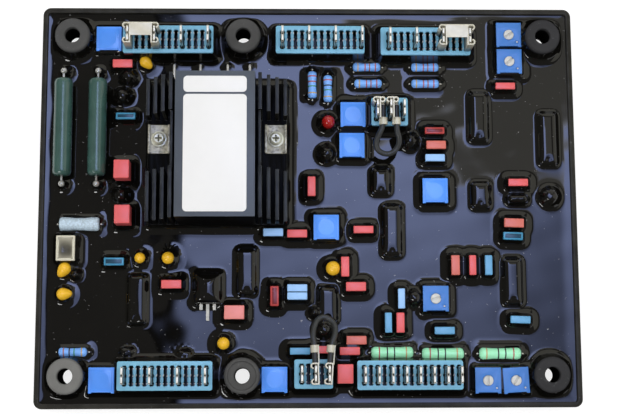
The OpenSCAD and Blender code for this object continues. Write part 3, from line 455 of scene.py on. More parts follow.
def paint_nodes(material, *nodes):
    """Sets the material of the nodes that show as they are."""
    for node in nodes:
        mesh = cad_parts[node].data
        mesh.materials.clear()
        mesh.materials.append(material)


def bevel_sharp(work, width, segments=2, least=28):
    """Rounds the edges of a bmesh that turn by more than the least angle."""
    least = math.radians(least)
    edges = [e for e in work.edges if len(e.link_faces) == 2 and e.calc_face_angle(0) > least]
    bmesh.ops.bevel(
        work, geom=edges, offset=width, segments=segments, profile=0.5, affect="EDGES",
        clamp_overlap=True,
    )


def softened(node, name, width, material, segments=2, body=BODY, shape=None):
    """Copies a node's solids into a piece of its own with rounded edges, after any change of shape."""
    work = bmesh.new()
    work.from_mesh(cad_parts[node].data)
    if shape:
        shape(work, feet(node))
    bmesh.ops.remove_doubles(work, verts=work.verts, dist=1e-6)
    bmesh.ops.dissolve_limit(work, angle_limit=math.radians(0.5), verts=work.verts, edges=work.edges)
    bevel_sharp(work, width, segments)
    return made_piece(work, name, [material], [node], body=body)


def add_box(work, half, low, high, matrix, edge, crown=0.0, material=0):
    """Adds a box with rounded edges and a slightly crowned top to a bmesh."""
    part = bmesh.new()
    bmesh.ops.create_cube(part, size=2)
    for vert in part.verts:
        vert.co = Vector((vert.co.x * half[0], vert.co.y * half[1], high if vert.co.z > 0 else low))
    bevel_sharp(part, edge, 3)
    if crown:
        for vert in part.verts:
            if vert.co.z > (low + high) / 2:
                reach = max(abs(vert.co.x) / half[0], abs(vert.co.y) / half[1])
                vert.co.z -= crown * reach**4
    bmesh.ops.transform(part, matrix=matrix, verts=part.verts)
    append(work, part, material)


def append(work, part, material=None):
    """Adds one bmesh to another, with all its faces in one material where asked."""
    start = len(work.verts)
    for vert in part.verts:
        work.verts.new(vert.co)
    work.verts.ensure_lookup_table()
    part.verts.index_update()
    for face in part.faces:
        made = work.faces.new([work.verts[start + v.index] for v in face.verts])
        made.material_index = face.material_index if material is None else material
        made.smooth = True
    part.free()


def add_turned(work, profile, matrix, steps, materials=None):
    """Adds a shape turned about Z from (radius, height) points, with a material for each stretch."""
    part = bmesh.new()
    rings = []
    for radius, height in profile:
        if radius < 1e-7:
            rings.append([part.verts.new((0, 0, height))])
            continue
        angles = [2 * math.pi * k / steps for k in range(steps)]
        rings.append([part.verts.new((radius * math.cos(a), radius * math.sin(a), height)) for a in angles])
    for stretch, (low, high) in enumerate(zip(rings, rings[1:])):
        for k in range(steps):
            near = [ring[(k + i) % len(ring)] for ring, i in ((low, 0), (low, 1), (high, 1), (high, 0))]
            corners = list(dict.fromkeys(near))
            if len(corners) > 2:
                face = part.faces.new(corners)
                face.material_index = materials[stretch] if materials else 0
    bmesh.ops.transform(part, matrix=matrix, verts=part.verts)
    append(work, part)


def arc(x, z, radius, degrees):
    """Points of an arc for a turned outline."""
    return [(x + radius * math.cos(a), z + radius * math.sin(a)) for a in np.radians(degrees)]


def add_tube(work, path, radius, matrix, material, steps=12):
    """Adds a capped tube along a path in the XZ plane."""
    part = bmesh.new()
    rings = []
    for i, point in enumerate(path):
        before, after = path[max(i - 1, 0)], path[min(i + 1, len(path) - 1)]
        ahead = (after - before).normalized()
        side = Vector((0, 1, 0))
        up = ahead.cross(side)
        rings.append([
            part.verts.new(point + radius * (math.cos(a) * side + math.sin(a) * up))
            for a in (2 * math.pi * k / steps for k in range(steps))
        ])
    for low, high in zip(rings, rings[1:]):
        for k in range(steps):
            part.faces.new([low[k], low[(k + 1) % steps], high[(k + 1) % steps], high[k]])
    part.faces.new(rings[0][::-1])
    part.faces.new(rings[-1])
    bmesh.ops.transform(part, matrix=matrix, verts=part.verts)
    append(work, part, material)


# Pieces


class REGULATOR_OT_stage(bpy.types.Operator):
    """Sets the camera, the lamps, the world and the floor"""

    bl_idname = "regulator.stage"
    bl_label = "Stage"

    LENS = 75.48
    CAMERA_PLACE = (-0.01172, -0.07184, 0.4972)
    CAMERA_TURN = (("X", -8.262), ("Y", 1.398), ("Z", 0.212))
    WORLD_LEVEL = 0.16
    FLOOR_LEVEL = 0.8
    CREAM = (1.0, 0.98, 0.86, 1)
    LAMPS = (
        ("top_box", (0.0, 0.0, 1.2), (0.8, 0.8), 4.3, (1.0, 1.0, 1.0)),
        ("left_box", (-0.75, 0.05, 0.75), (0.5, 0.9), 3.9, (1.0, 0.99, 0.97)),
        ("right_box", (0.80, 0.05, 0.75), (0.5, 0.9), 3.9, (0.98, 0.99, 1.0)),
        ("back_box", (0.0, 0.85, 0.80), (0.9, 0.4), 2.6, (1.0, 1.0, 1.0)),
        ("front_box", (0.0, -0.95, 0.70), (0.9, 0.4), 2.6, (1.0, 1.0, 1.0)),
    )
    CARDS = (
        ("glint_card", (-0.44, -0.56, 0.70), (0.15, 0.06), WHITE, 13),
        ("right_card", (0.90, 0.10, 0.60), (0.50, 0.45), CREAM, 0.85),
        ("back_card", (0.10, 0.95, 0.60), (0.60, 0.45), CREAM, 0.85),
        ("left_flag", (-1.0, 0.05, 0.30), (0.90, 0.34), CREAM, 0.12),
        ("front_flag", (0.0, -1.0, 0.30), (0.90, 0.34), CREAM, 0.12),
    )

    def execute(self, context):
        scene = context.scene
        scene.view_settings.view_transform = "Standard"
        self.camera(scene)
        self.world(scene)
        self.floor()
        for row in self.LAMPS:
            self.lamp(scene, *row)
        self.softbox()
        for row in self.CARDS:
            self.card(*row)
        return {"FINISHED"}

    def camera(self, scene):
        """Looks down at the regulator as the photograph does."""
        data = bpy.data.cameras.new("camera")
        data.sensor_width = 36.0
        data.sensor_fit = "HORIZONTAL"
        data.lens = self.LENS
        data.clip_start = 0.01
        camera = bpy.data.objects.new("camera", data)
        turn = Matrix.Identity(4)
        for axis, degrees in self.CAMERA_TURN:
            turn = turn @ Matrix.Rotation(math.radians(degrees), 4, axis)
        camera.matrix_world = Matrix.Translation(self.CAMERA_PLACE) @ turn.inverted()
        scene.collection.objects.link(camera)
        scene.camera = camera

    def world(self, scene):
        """A dim, even light from all sides."""
        world = bpy.data.worlds.new("studio")
        world.use_nodes = True
        back = world.node_tree.nodes["Background"]
        back.inputs["Color"].default_value = (1.0, 0.97, 0.92, 1)
        back.inputs["Strength"].default_value = self.WORLD_LEVEL
        scene.world = world

    def floor(self):
        """A round floor that sweeps up far from the regulator."""
        work = bmesh.new()
        flat, bend = 2.0, 0.4
        sweep = [(flat + bend * math.sin(a), bend - bend * math.cos(a)) for a in np.radians(range(0, 91, 6))]
        add_turned(work, [(0, 0), (0.5, 0), *sweep, (flat + bend, 1.0)], Matrix.Identity(4), 96)
        mesh = mesh_from(work, "floor")
        mesh.flip_normals()
        paint = finish("floor_paint", "floor", 0.8, amount=0.005, relief=0.0)
        tree = paint.node_tree
        path = add_node(tree, "LightPath").outputs
        seen = path["Is Camera Ray"]
        for ray in ("Is Glossy Ray", "Is Transmission Ray"):
            seen = calc(tree, "MAXIMUM", seen, path[ray])
        shader = tree.nodes["Principled BSDF"]
        feed(tree, shader.inputs["Emission Color"], WHITE)
        feed(tree, shader.inputs["Emission Strength"], calc(tree, "MULTIPLY", seen, self.FLOOR_LEVEL))
        add_object("floor", mesh, [paint])

    def panel(self, name, corners):
        """Adds a panel that only glossy surfaces show, and gives its nodes and the inputs of its light."""
        mesh = bpy.data.meshes.new(name)
        mesh.from_pydata(corners, [], [(0, 1, 2, 3)])
        glow = bpy.data.materials.new(name)
        glow.use_nodes = True
        tree = glow.node_tree
        tree.nodes.clear()
        light = add_node(tree, "Emission")
        add_node(tree, "OutputMaterial", Surface=light.outputs[0])
        panel = add_object(name, mesh, [glow])
        panel.visible_camera = False
        panel.visible_diffuse = False
        panel.visible_shadow = False
        return tree, light.inputs

    def softbox(self):
        """A pale blue panel over the camera, which the resin mirrors; its far right corner is grey."""
        left, right, near, far, height = -0.15, 0.40, -0.20, 0.45, 1.0
        tree, light = self.panel("softbox", [
            (left, near, height), (right, near, height), (right, far, height), (left, far, height),
        ])
        axes = object_axes(tree)
        x, y = axes["X"], axes["Y"]

        def ramp(value, start, stop, low=0.0, high=1.0):
            return add_node(
                tree, "MapRange", interpolation_type="SMOOTHSTEP", Value=value, From_Min=start, From_Max=stop,
                To_Min=low, To_Max=high,
            ).outputs[0]

        corner = calc(
            tree, "MAXIMUM",
            calc(tree, "MULTIPLY", ramp(x, 0.055, 0.085), ramp(y, 0.215, 0.245)),
            calc(tree, "MULTIPLY", ramp(x, 0.175, 0.205), ramp(y, 0.16, 0.19)),
        )
        blue = calc(tree, "MULTIPLY", ramp(x, -0.14, -0.105), ramp(y, -0.05, 0.26, 2.9, 6.4))
        blue = calc(tree, "MULTIPLY", blue, ramp(x, 0.16, 0.34, 1.0, 0.45))
        level = add_node(tree, "Mix", data_type="FLOAT", Factor=corner, A=blue, B=0.72)
        feed(tree, light["Strength"], level.outputs[0])
        feed(tree, light["Color"], blend(tree, corner, (0.46, 0.56, 1.0, 1), (1.0, 0.98, 0.9, 1)))

    def card(self, name, place, half, colour, level):
        """A plain panel that faces the regulator."""
        middle = Vector(place)
        across = Vector((middle.y, -middle.x, 0)).normalized() * half[0]
        along = middle.cross(across).normalized() * half[1]
        corners = [middle + i * across + j * along for i, j in ((-1, -1), (1, -1), (1, 1), (-1, 1))]
        _, light = self.panel(name, corners)
        light["Color"].default_value = colour
        light["Strength"].default_value = level

    def lamp(self, scene, name, place, size, power, colour):
        """A soft lamp that faces the regulator and doesn't show in glossy surfaces."""
        data = bpy.data.lights.new(name, "AREA")
        data.shape = "RECTANGLE"
        data.size, data.size_y = size
        data.energy = power
        data.color = colour
        lamp = bpy.data.objects.new(name, data)
        lamp.location = place
        lamp.rotation_euler = (-Vector(place)).to_track_quat("-Z", "Y").to_euler()
        lamp.visible_glossy = False
        scene.collection.objects.link(lamp)


class REGULATOR_OT_jumpers(bpy.types.Operator):
    """Lays the two jumper wires between their receptacles"""

    bl_idname = "regulator.jumpers"
    bl_label = "Jumper wires"

    def execute(self, context):
        sleeve = finish("wire_sleeve", "wire", 0.38, amount=0.08, relief=0.12, scale=500)
        for node, route in JUMPER_ROUTES.items():
            curve = bpy.data.curves.new(node, "CURVE")
            curve.dimensions = "3D"
            curve.bevel_depth = sizes().wire_diameter / 2
            curve.bevel_resolution = 5
            curve.resolution_u = 10
            curve.use_fill_caps = True
            spline = curve.splines.new("NURBS")
            spline.points.add(len(route) - 1)
            places = [(x * MM, y * MM, (WIRE_Z + z) * MM) for x, y, z in route]
            for point, place in zip(spline.points, places):
                point.co = (*place, 1)
            spline.use_endpoint_u = True
            spline.order_u = 3
            piece = add_object(node.replace("wire", "lead"), curve, [sleeve])
            place_piece(piece, [node])
            self.length(piece)
        return {"FINISHED"}

    def length(self, piece):
        """Length of the smooth line that a curve follows."""
        plain = piece.data.copy()
        plain.bevel_depth = 0
        probe = bpy.data.objects.new("probe", plain)
        mesh = probe.to_mesh()
        points = [v.co.copy() for v in mesh.vertices]
        probe.to_mesh_clear()
        bpy.data.objects.remove(probe)
        bpy.data.curves.remove(plain)
        return sum((b - a).length for a, b in zip(points, points[1:]))


class REGULATOR_OT_tray(bpy.types.Operator):
    """Rounds the tray and gives it and the inner layers their finishes"""

    bl_idname = "regulator.tray"
    bl_label = "Tray and bushes"

    def execute(self, context):
        moulded = finish(
            "moulded_tray", "tray", 0.3, amount=0.35, scale=160, relief=0.2, relief_scale=500,
            dust_and_reflection=0.2, Specular_IOR_Level=0.1,
        )
        softened("tray", "tray_shell", sizes().tray_edge, moulded, 3)
        paint_nodes(finish("board_laminate", (40, 84, 56), 0.5), "circuit_board")
        paint_nodes(finish("under_resin", "resin", 0.3), "underfill")
        self.bushes()
        return {"FINISHED"}

    def bushes(self):
        """Turns each bush, one of them with a seat ring, and gives it one of three copies of its finish, each
        with painted shade below its top.
        """
        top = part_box(BUSHES[0])[1].z
        # Copies of one bush finish: plain, a lighter lit copy that paints the light the lower left bush
        # catches, and a darker one for the right bushes. Each is darkened by painted shade in its bore and down
        # its sides.
        shades = {"moulded_bush": "bush", "worn_bush": (118, 118, 116), "dark_bush": (58, 58, 60)}
        plain, painted_light, dark = (
            finish(
                name, shade, 0.5, amount=0.10, relief=0.3, relief_scale=2200, dust_and_reflection=0.2,
                depth=(top - 3 * MM, top - 0.7 * MM, (12, 12, 13)), Specular_IOR_Level=0.0,
            )
            for name, shade in shades.items()
        )
        round_off, drop, ease, lead_in = 1.1 * MM, 0.6 * MM, 0.15 * MM, 0.4 * MM
        for node in BUSHES:
            foot = feet(node)[0]
            # The right bushes take the darker copy. The lower left one takes the lit copy with its painted
            # light.
            material = dark if foot.x > 50 * MM else painted_light if foot.x < -50 * MM and foot.y < 0 else plain
            points, _ = node_points(node)
            reach = np.hypot(points[:, 0] - foot.x, points[:, 1] - foot.y)
            bore, outside, high = reach.min(), reach.max(), foot.high
            seats = [r for r in reach[points[:, 2] > high - 0.1 * MM] if r > bore + 0.5 * MM]
            seat = min(seats) if min(seats) < outside - 1.2 * MM else 0
            profile = [(bore, 0), (outside, 0), (outside, high - round_off)]
            profile += arc(outside - round_off, high - round_off, round_off, range(15, 91, 15))
            if seat:
                profile += [
                    (seat + ease, high), (seat, high - ease), (seat - 0.1 * MM, high - drop),
                    (bore + lead_in, high - drop), (bore, high - drop - lead_in),
                ]
            else:
                profile += [(bore + drop, high), (bore + 0.18 * MM, high - ease), (bore, high - drop)]
            profile += [(bore, 0)]
            work = bmesh.new()
            add_turned(work, profile, foot.at(), 2 * sizes().round_steps)
            bmesh.ops.remove_doubles(work, verts=work.verts, dist=1e-7)
            made_piece(work, node.replace("mounting", "turned"), [material], [node])


class REGULATOR_OT_resin(bpy.types.Operator):
    """Pours the resin, which climbs every part that it wets"""

    bl_idname = "regulator.resin"
    bl_label = "Potting resin"

    # The heights where the resin meets the parts that it climbs, and the shares of its slope
    EDGE = 0.5 * MM
    TALL = 17 * MM
    TALL_CONTACT = 12.4 * MM
    SINK_CONTACT = 10.4 * MM
    POST_CONTACT = 12 * MM
    LEAD_CONTACT = 9.0 * MM
    RESISTOR_CONTACT = 9.3 * MM
    POST_MIDDLE = 29 * MM
    LEAST_HALF = 1.2 * MM
    BUSH_INSET = 1.2 * MM
    STEEP_PART = 0.4
    STEEP_SHARE = 0.58
    SHALLOW_SHARE = 0.42

    def execute(self, context):
        low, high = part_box("potting")
        step = sizes().resin_grid
        columns = round((high.x - low.x) / step) + 1
        rows = round((high.y - low.y) / step) + 1
        px, py = np.meshgrid(np.linspace(low.x, high.x, columns), np.linspace(low.y, high.y, rows))
        px, py = self.snapped(px, py)
        surface = self.surface(px, py, low, high)
        resin = finish(
            "potting_resin", "resin", 0.045, amount=0.25, scale=60, spread=0.05, relief=0.05,
            relief_scale=60, dust_and_reflection=0.75, specks=(0.725, 0.77), IOR=1.52, Specular_IOR_Level=0.5,
        )
        work = self.poured(px, py, surface, low.z)
        made_piece(work, "poured_resin", [resin], ["potting"], 65)
        return {"FINISHED"}

    def level(self):
        """Height of the resin away from the parts."""
        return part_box("circuit_board")[1].z + sizes().resin_depth

    def wetted(self):
        """Lists the parts that the resin wets: outline, corner, height, reach, and how squarely it covers."""
        reach = sizes().resin_reach
        skin = sizes().resin_skin
        level = self.level()
        parts = []

        def climbs(nodes, bare, width=reach, turned=False):
            for foot in feet(*nodes):
                parts.append((foot, foot.half_x if turned else self.EDGE, foot.high - bare * MM, width, 0))

        def covers(nodes, corner, rise, cover):
            for foot in feet(*nodes):
                half = min(foot.half)
                share = (foot.high - level) / (foot.high + rise - level)
                width = half * ((-math.log(share)) ** (-1 / cover) - 1) + 0.15 * MM
                parts.append((foot, min(corner, half), foot.high + rise, width, cover))

        climbs(TERMINAL_BLOCKS, 1.3, reach - 0.7 * MM)
        climbs([*TRIMMERS, "sealed_trimmers"], 0.6)
        climbs(["film_capacitors_blue", "ceramic_box"], 0.8)
        for foot in feet("film_capacitors_red"):
            contact = self.TALL_CONTACT if foot.high > self.TALL else foot.high - 0.8 * MM
            parts.append((foot, self.EDGE, contact, reach, 0))
        climbs(BUSHES, 2.2, reach - 0.2 * MM, turned=True)
        climbs(["tantalum_capacitors"], 2.6, turned=True)
        climbs(["indicator_lamp"], 3.4, turned=True)
        for foot in feet("resistors_blue", "resistors_green", "dog_bone_resistor"):
            parts += self.resistor(foot, reach)
        for foot in feet("module_leads"):
            end = square_foot(foot.x, foot.y + foot.half_y - foot.half_x, foot.half_x)
            parts.append((end, end.half_x, self.LEAD_CONTACT, reach - 1 * MM, 0))
        for foot in feet("power_resistor_leads"):
            half = 0.6 * MM
            away = math.copysign(foot.half_y - foot.half_x, foot.y - self.POST_MIDDLE)
            post = square_foot(foot.x, foot.y + away, half)
            parts.append((post, half, self.POST_CONTACT, reach - 0.4 * MM, 0))
        low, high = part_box("heat_sink")
        sink = Foot(np.array([(x, y, low.z) for x in (low.x, high.x) for y in (low.y, high.y)]))
        parts.append((sink, self.EDGE, self.SINK_CONTACT, reach, 0))
        covers(["integrated_circuits"], 1.2 * MM, 2 * skin, 5)
        covers(["coated_parts", "diodes"], 2.8 * MM, 2.8 * skin, 3.2)
        body = transistor_body()
        parts.append((body, 0.6 * MM, body.high, 0.7 * MM, 5))
        return parts

    def resistor(self, foot, reach):
        """The body of a resistor, and a bead of resin over each of its leads."""
        lead, bead, inset = 1.6 * MM, 0.5 * MM, 0.4 * MM
        if foot.half_x > foot.half_y:
            ends = [(foot.x + s * (foot.half_x - inset), foot.y) for s in (-1, 1)]
            foot.half_x -= lead
        else:
            ends = [(foot.x, foot.y + s * (foot.half_y - inset)) for s in (-1, 1)]
            foot.half_y -= lead
        beads = [(square_foot(x, y, bead), bead, self.LEAD_CONTACT, bead, 2.4) for x, y in ends]
        return [(foot, 0.8 * MM, self.RESISTOR_CONTACT, reach, 0)] + beads

    def snapped(self, px, py):
        """Moves the points of the grid that lie near the outline of a part onto it."""
        reach, tiny = 0.5 * sizes().resin_grid, 0.01 * MM
        for foot, corner, _, _, cover in self.wetted():
            if cover or min(foot.half) < self.LEAST_HALF:
                continue
            gap = foot.distance(px, py, corner)
            lean_x = (foot.distance(px + tiny, py, corner) - gap) / tiny
            lean_y = (foot.distance(px, py + tiny, corner) - gap) / tiny
            shift = np.where(np.abs(gap) < reach, gap, 0)
            shift[[0, -1]] = 0
            shift[:, [0, -1]] = 0
            px, py = px - shift * lean_x, py - shift * lean_y
        return px, py

    def surface(self, px, py, low, high):
        """Height of the resin at each point of the grid."""
        level = self.level()
        total = np.zeros_like(px)
        inside = np.full_like(px, 1.0)
        power = 3
        for foot, corner, top, width, cover in self.wetted():
            gap = foot.distance(px, py, corner)
            half = min(foot.half)
            width *= 1.06 + 0.1 * math.sin(foot.x * 900 + foot.y * 700)
            if cover:
                slope = np.exp(-((np.maximum(gap + half, 0) / (half + width)) ** cover))
            else:
                steep = (1 - np.clip(gap / (self.STEEP_PART * width), 0, 1)) ** 2
                shallow = (1 - np.clip(gap / width, 0, 1)) ** 1.4
                slope = self.STEEP_SHARE * steep + self.SHALLOW_SHARE * shallow
                if half > self.LEAST_HALF:
                    inside = np.minimum(inside, gap)
            total += ((top - level) * slope) ** power
        wall = np.minimum(np.minimum(px - low.x, high.x - px), np.minimum(py - low.y, high.y - py))
        rise = sizes().wall_climb * (1 - np.clip(wall / sizes().wall_reach, 0, 1)) ** 2
        fade = np.clip((wall - 1.2 * MM) / (1.8 * MM), 0, 1)
        total *= (fade * fade * (3 - 2 * fade)) ** power
        waves = ((430, 210, 0), (-160, 520, 1.3), (250, -330, 2.1))
        swell = 0.012 * MM * sum(np.sin(px * along + py * across + start) for along, across, start in waves)
        surface = level + np.cbrt(total + rise**power) + swell
        for foot in feet("integrated_circuits"):
            away = np.hypot(px - foot.x, py - foot.y + foot.half_y - 1.6 * MM)
            surface -= 0.45 * MM * np.exp(-((away / (1.0 * MM)) ** 2))
        for foot in feet("coated_parts", "diodes"):
            near = np.exp(-((np.maximum(foot.distance(px, py, 0.5 * MM), 0) / (1.0 * MM)) ** 2))
            lumps = np.sin(px * 2500 + foot.y * 900) * np.sin(py * 2200 + foot.x * 700)
            surface += 0.2 * MM * lumps * near
        body = transistor_body()
        roof = np.clip(-body.distance(px, py, 0.3 * MM) / body.half_x, 0, 1)
        surface += 0.9 * MM * roof
        return np.where(inside < -0.6 * MM, level - 2 * MM, surface)

    def bored(self, px, py):
        """Marks the squares of the grid that lie in the bore of a bush."""
        holes = np.zeros(px[1:, 1:].shape, bool)
        x, y = (px[1:, 1:] + px[:-1, :-1]) / 2, (py[1:, 1:] + py[:-1, :-1]) / 2
        for foot in feet(*BUSHES):
            holes |= np.hypot(x - foot.x, y - foot.y) < foot.half_x - self.BUSH_INSET
        return holes

    def poured(self, px, py, surface, bottom):
        """A closed bmesh with the resin surface on top, a flat underside and a hole for each bush."""
        rows, columns = px.shape
        points = np.stack([px, py, surface], axis=-1).reshape(-1, 3)
        index = np.arange(rows * columns).reshape(rows, columns)
        quads = np.stack([index[:-1, :-1], index[:-1, 1:], index[1:, 1:], index[1:, :-1]], axis=-1)
        quads = quads[~self.bored(px, py)]
        sides = np.concatenate([quads[:, [k, (k + 1) % 4]] for k in range(4)])
        known = set(map(tuple, sides.tolist()))
        rim = sorted((a, b) for a, b in known if (b, a) not in known)
        under = {a: len(points) + k for k, (a, _) in enumerate(rim)}
        base = points[[a for a, _ in rim]].copy()
        base[:, 2] = bottom
        walls = [(under[a], under[b], b, a) for a, b in rim]
        rough = bpy.data.meshes.new("rough_resin")
        rough.from_pydata(np.concatenate([points, base]).tolist(), [], quads.tolist() + walls)
        work = bmesh.new()
        work.from_mesh(rough)
        bpy.data.meshes.remove(rough)
        bmesh.ops.delete(work, geom=[v for v in work.verts if not v.link_faces], context="VERTS")
        open_edges = [e for e in work.edges if e.is_boundary]
        bmesh.ops.triangle_fill(work, use_beauty=True, edges=open_edges, normal=(0, 0, -1))
        return work


class REGULATOR_OT_heat_sink(bpy.types.Operator):
    """Rounds the heat sink, its clamps and its label plates"""

    bl_idname = "regulator.heat_sink"
    bl_label = "Heat sink"

    def execute(self, context):
        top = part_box("heat_sink")[1].z
        anodised = finish(
            "anodised_sink", "sink", 0.34, amount=0.10, scale=90, spread=0.15, relief=0.25,
            relief_scale=500, stretch=(6, 0.25, 6), dust_and_reflection=0.15, Specular_IOR_Level=0.5,
        )
        black = finish(
            "black_fins", (12, 12, 13), 0.3, amount=0.2, scale=90, relief=0.3, relief_scale=300,
            stretch=(3, 0.4, 3), Specular_IOR_Level=0.03,
        )
        # Painted highlight on the slanted edges of the fins.
        painted_light = finish("worn_fin_edge", (136, 140, 146), 0.3, amount=0.7, scale=400, relief=0.2)
        # Painted sheen: the upward faces of the fins are a little lighter than the black below.
        sheen_top = finish(
            "rubbed_fin_top", (44, 47, 51), 0.34, amount=0.6, scale=160, spread=0.2, relief=0.25,
            relief_scale=500, stretch=(3, 0.4, 3), Specular_IOR_Level=0.2,
        )
        sink = softened("heat_sink", "finned_sink", sizes().sink_edge, anodised)
        for material in (black, painted_light, sheen_top):
            sink.data.materials.append(material)
        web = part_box("heat_sink")[0].z + 6 * MM
        # Below the top, slanted faces take the painted highlight, upward faces above the web take the painted
        # sheen, and the rest is black.
        leaning, level = 0.2, 0.9
        for face in sink.data.polygons:
            if face.center.z < top - 0.4 * MM:
                edge = leaning < face.normal.z < level
                upper = face.normal.z > level and face.center.z > web
                face.material_index = 2 if edge else 3 if upper else 1
        # The nickel plates take large dark specks on their upward faces: a painted dark reflection.
        nickel = finish(
            "nickel_sheet", (186, 182, 164), 0.34, amount=0.3, scale=260, relief=0.3, relief_scale=400,
            dust_and_reflection=0.75, specks=(0.42, 0.78), dust_and_reflection_colour=(40, 36, 30), Metallic=0.25, Specular_IOR_Level=0.3,
        )
        screw = finish(
            "plated_screw", (222, 222, 204), 0.28, amount=0.2, scale=300, relief=0.2, relief_scale=500,
            Metallic=0.25, Specular_IOR_Level=0.4,
        )
        made = {}
        for node, metal in (("clamp_plates", nickel), ("clamp_washers", screw), ("clamp_screws", screw)):
            name = node.replace("clamp", "nickel")
            made[node] = softened(node, name, sizes().metal_edge, metal)
        self.recesses(made["clamp_screws"].data)
        tinned = finish("tinned_lead", (204, 202, 194), 0.25, amount=0.12, scale=600, relief=0.15, Metallic=0.4)
        softened("module_leads", "bent_leads", sizes().metal_edge, tinned)
        satin = finish("label_film", "label", 0.45, amount=0.015, scale=150, relief=0.03, relief_scale=900)
        for node in ("label_small", "label_large"):
            softened(node, node.replace("label", "plate"), 0.08 * MM, satin)
        paint_nodes(finish("module_case", (44, 44, 46), 0.5), "power_module")
        return {"FINISHED"}

    def recesses(self, mesh):
        """Paints shade into the cross recess in the head of each clamp screw."""
        mesh.materials.append(finish("screw_recess", (112, 112, 98), 0.5, Specular_IOR_Level=0.1))
        screws, top = feet("clamp_screws"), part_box("clamp_screws")[1].z
        for face in mesh.polygons:
            near = min(math.hypot(face.center.x - s.x, face.center.y - s.y) for s in screws)
            if near < 1.4 * MM and top - 1.5 * MM < face.center.z < top - 0.15 * MM:
                face.material_index = 1


class REGULATOR_OT_terminals(bpy.types.Operator):
    """Rounds the terminal blocks, their blades, the links and the receptacles"""

    bl_idname = "regulator.terminals"
    bl_label = "Terminals"

    def execute(self, context):
        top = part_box(TERMINAL_BLOCKS[0])[1].z
        # Painted shade darkens the blocks below their top, in the slots and down the sides.
        moulded = finish(
            "moulded_block", "block", 0.34, scale=260, relief=0.12, dust_and_reflection=0.12,
            depth=(top - 2.2 * MM, top - 0.25 * MM, (12, 12, 12)),
        )
        for node in TERMINAL_BLOCKS:
            softened(node, node.replace("terminal", "slotted"), sizes().block_edge, moulded)
        # Painted shade darkens the links and receptacles towards their lower walls.
        tin = finish(
            "bright_tin", "tin", 0.36, amount=0.12, scale=350, relief=0.08, relief_scale=900,
            depth=(top + 0.5 * MM, top + 7 * MM, (84, 98, 106)), Metallic=0.15, Specular_IOR_Level=0.35,
        )
        for node in ("link_1", "link_2", "flag_receptacles_1", "flag_receptacles_2"):
            name = node.replace("link", "bridge").replace("flag", "rolled")
            softened(node, name, sizes().metal_edge, tin)
        self.blades()
        self.contacts()
        return {"FINISHED"}

    def blades(self):
        """Makes each blade with bevelled corners and a dip in the middle of its tip, with painted light on the
        two tips, painted shade in the dip and a shaded copy of the tin elsewhere.
        """
        sheet = dict(scale=350, relief=0.08)
        # Lit and shaded copies of the tin, and a painted shade for the dip.
        bright = finish("bright_tip", (232, 230, 218), 0.3, amount=0.1, Metallic=0.2, **sheet)
        shaded = finish("shaded_tin", (176, 174, 166), 0.26, amount=0.15, Metallic=0.9, **sheet)
        notch = finish("blade_notch", (58, 56, 50), 0.5, amount=0.3, scale=350, Specular_IOR_Level=0.1)
        work = bmesh.new()
        for foot in feet("terminal_blades"):
            half, top, slant, dip = foot.half_y, foot.high, 0.55 * MM, 0.6 * MM
            side = [
                (-half, foot.low), (half, foot.low), (half, top - slant), (half - slant, top), (dip, top),
                (0.7 * dip, top - 0.5 * MM), (-0.7 * dip, top - 0.5 * MM), (-dip, top), (slant - half, top),
                (-half, top - slant),
            ]
            part = bmesh.new()
            front = [part.verts.new((foot.half_x, y, z)) for y, z in side]
            back = [part.verts.new((-foot.half_x, y, z)) for y, z in side]
            part.faces.new(front).material_index = 1
            part.faces.new(back[::-1]).material_index = 1
            for k in range(len(side)):
                after = (k + 1) % len(side)
                face = part.faces.new([front[k], back[k], back[after], front[after]])
                # The two tips take the painted light, the dip takes the painted shade, and the rest takes the
                # shaded copy.
                face.material_index = 0 if k in (3, 7) else 2 if k in (4, 5, 6) else 1
            bmesh.ops.transform(part, matrix=foot.matrix(), verts=part.verts)
            bevel_sharp(part, sizes().metal_edge)
            append(work, part)
        made_piece(work, "notched_blades", [bright, shaded, notch], ["terminal_blades"])

    def contacts(self):
        """Adds the tips of the contact springs that show in the open slots."""
        spring = finish("contact_spring", (214, 212, 204), 0.3, amount=0.3, scale=700, relief=0.2, Metallic=0.2)
        blades = feet("terminal_blades")
        tips = ((2.6, 0.20, 0.35, 0.4, 0), (0.15, 0.20, 0.50, 0.7, -25), (-2.85, 0.24, 0.20, 0.5, 0))
        work = bmesh.new()
        for node in TERMINAL_BLOCKS:
            for x, y, top in self.slots(node):
                if any(math.hypot(b.x - x, b.y - y) < 1 * MM for b in blades):
                    continue
                for along, half_x, half_y, depth, turn in tips:
                    place = Matrix.Translation((x, y + along * MM, 0))
                    place @= Matrix.Rotation(math.radians(turn), 4, "Z")
                    half, high = (half_x * MM, half_y * MM), top - depth * MM
                    add_box(work, half, high - 1.5 * MM, high, place, 0.06 * MM)
        made_piece(work, "contact_springs", [spring])

    def slots(self, node):
        """Gives the middle of each slot of a block, and the top of the block."""
        points, _ = node_points(node)
        top = points[:, 2].max()
        depths = np.unique(np.round(points[:, 2], 5))
        floor = depths[np.argmin(np.abs(depths - top + 8 * MM))]
        edge = points[np.abs(points[:, 2] - floor) < 0.02 * MM]
        edge = edge[np.argsort(edge[:, 0])]
        breaks = np.flatnonzero(np.diff(edge[:, 0]) > 0.45 * MM) + 1
        middles = [(g.min(0) + g.max(0)) / 2 for g in np.split(edge, breaks)]
        return [(m[0], m[1], top) for m in middles]


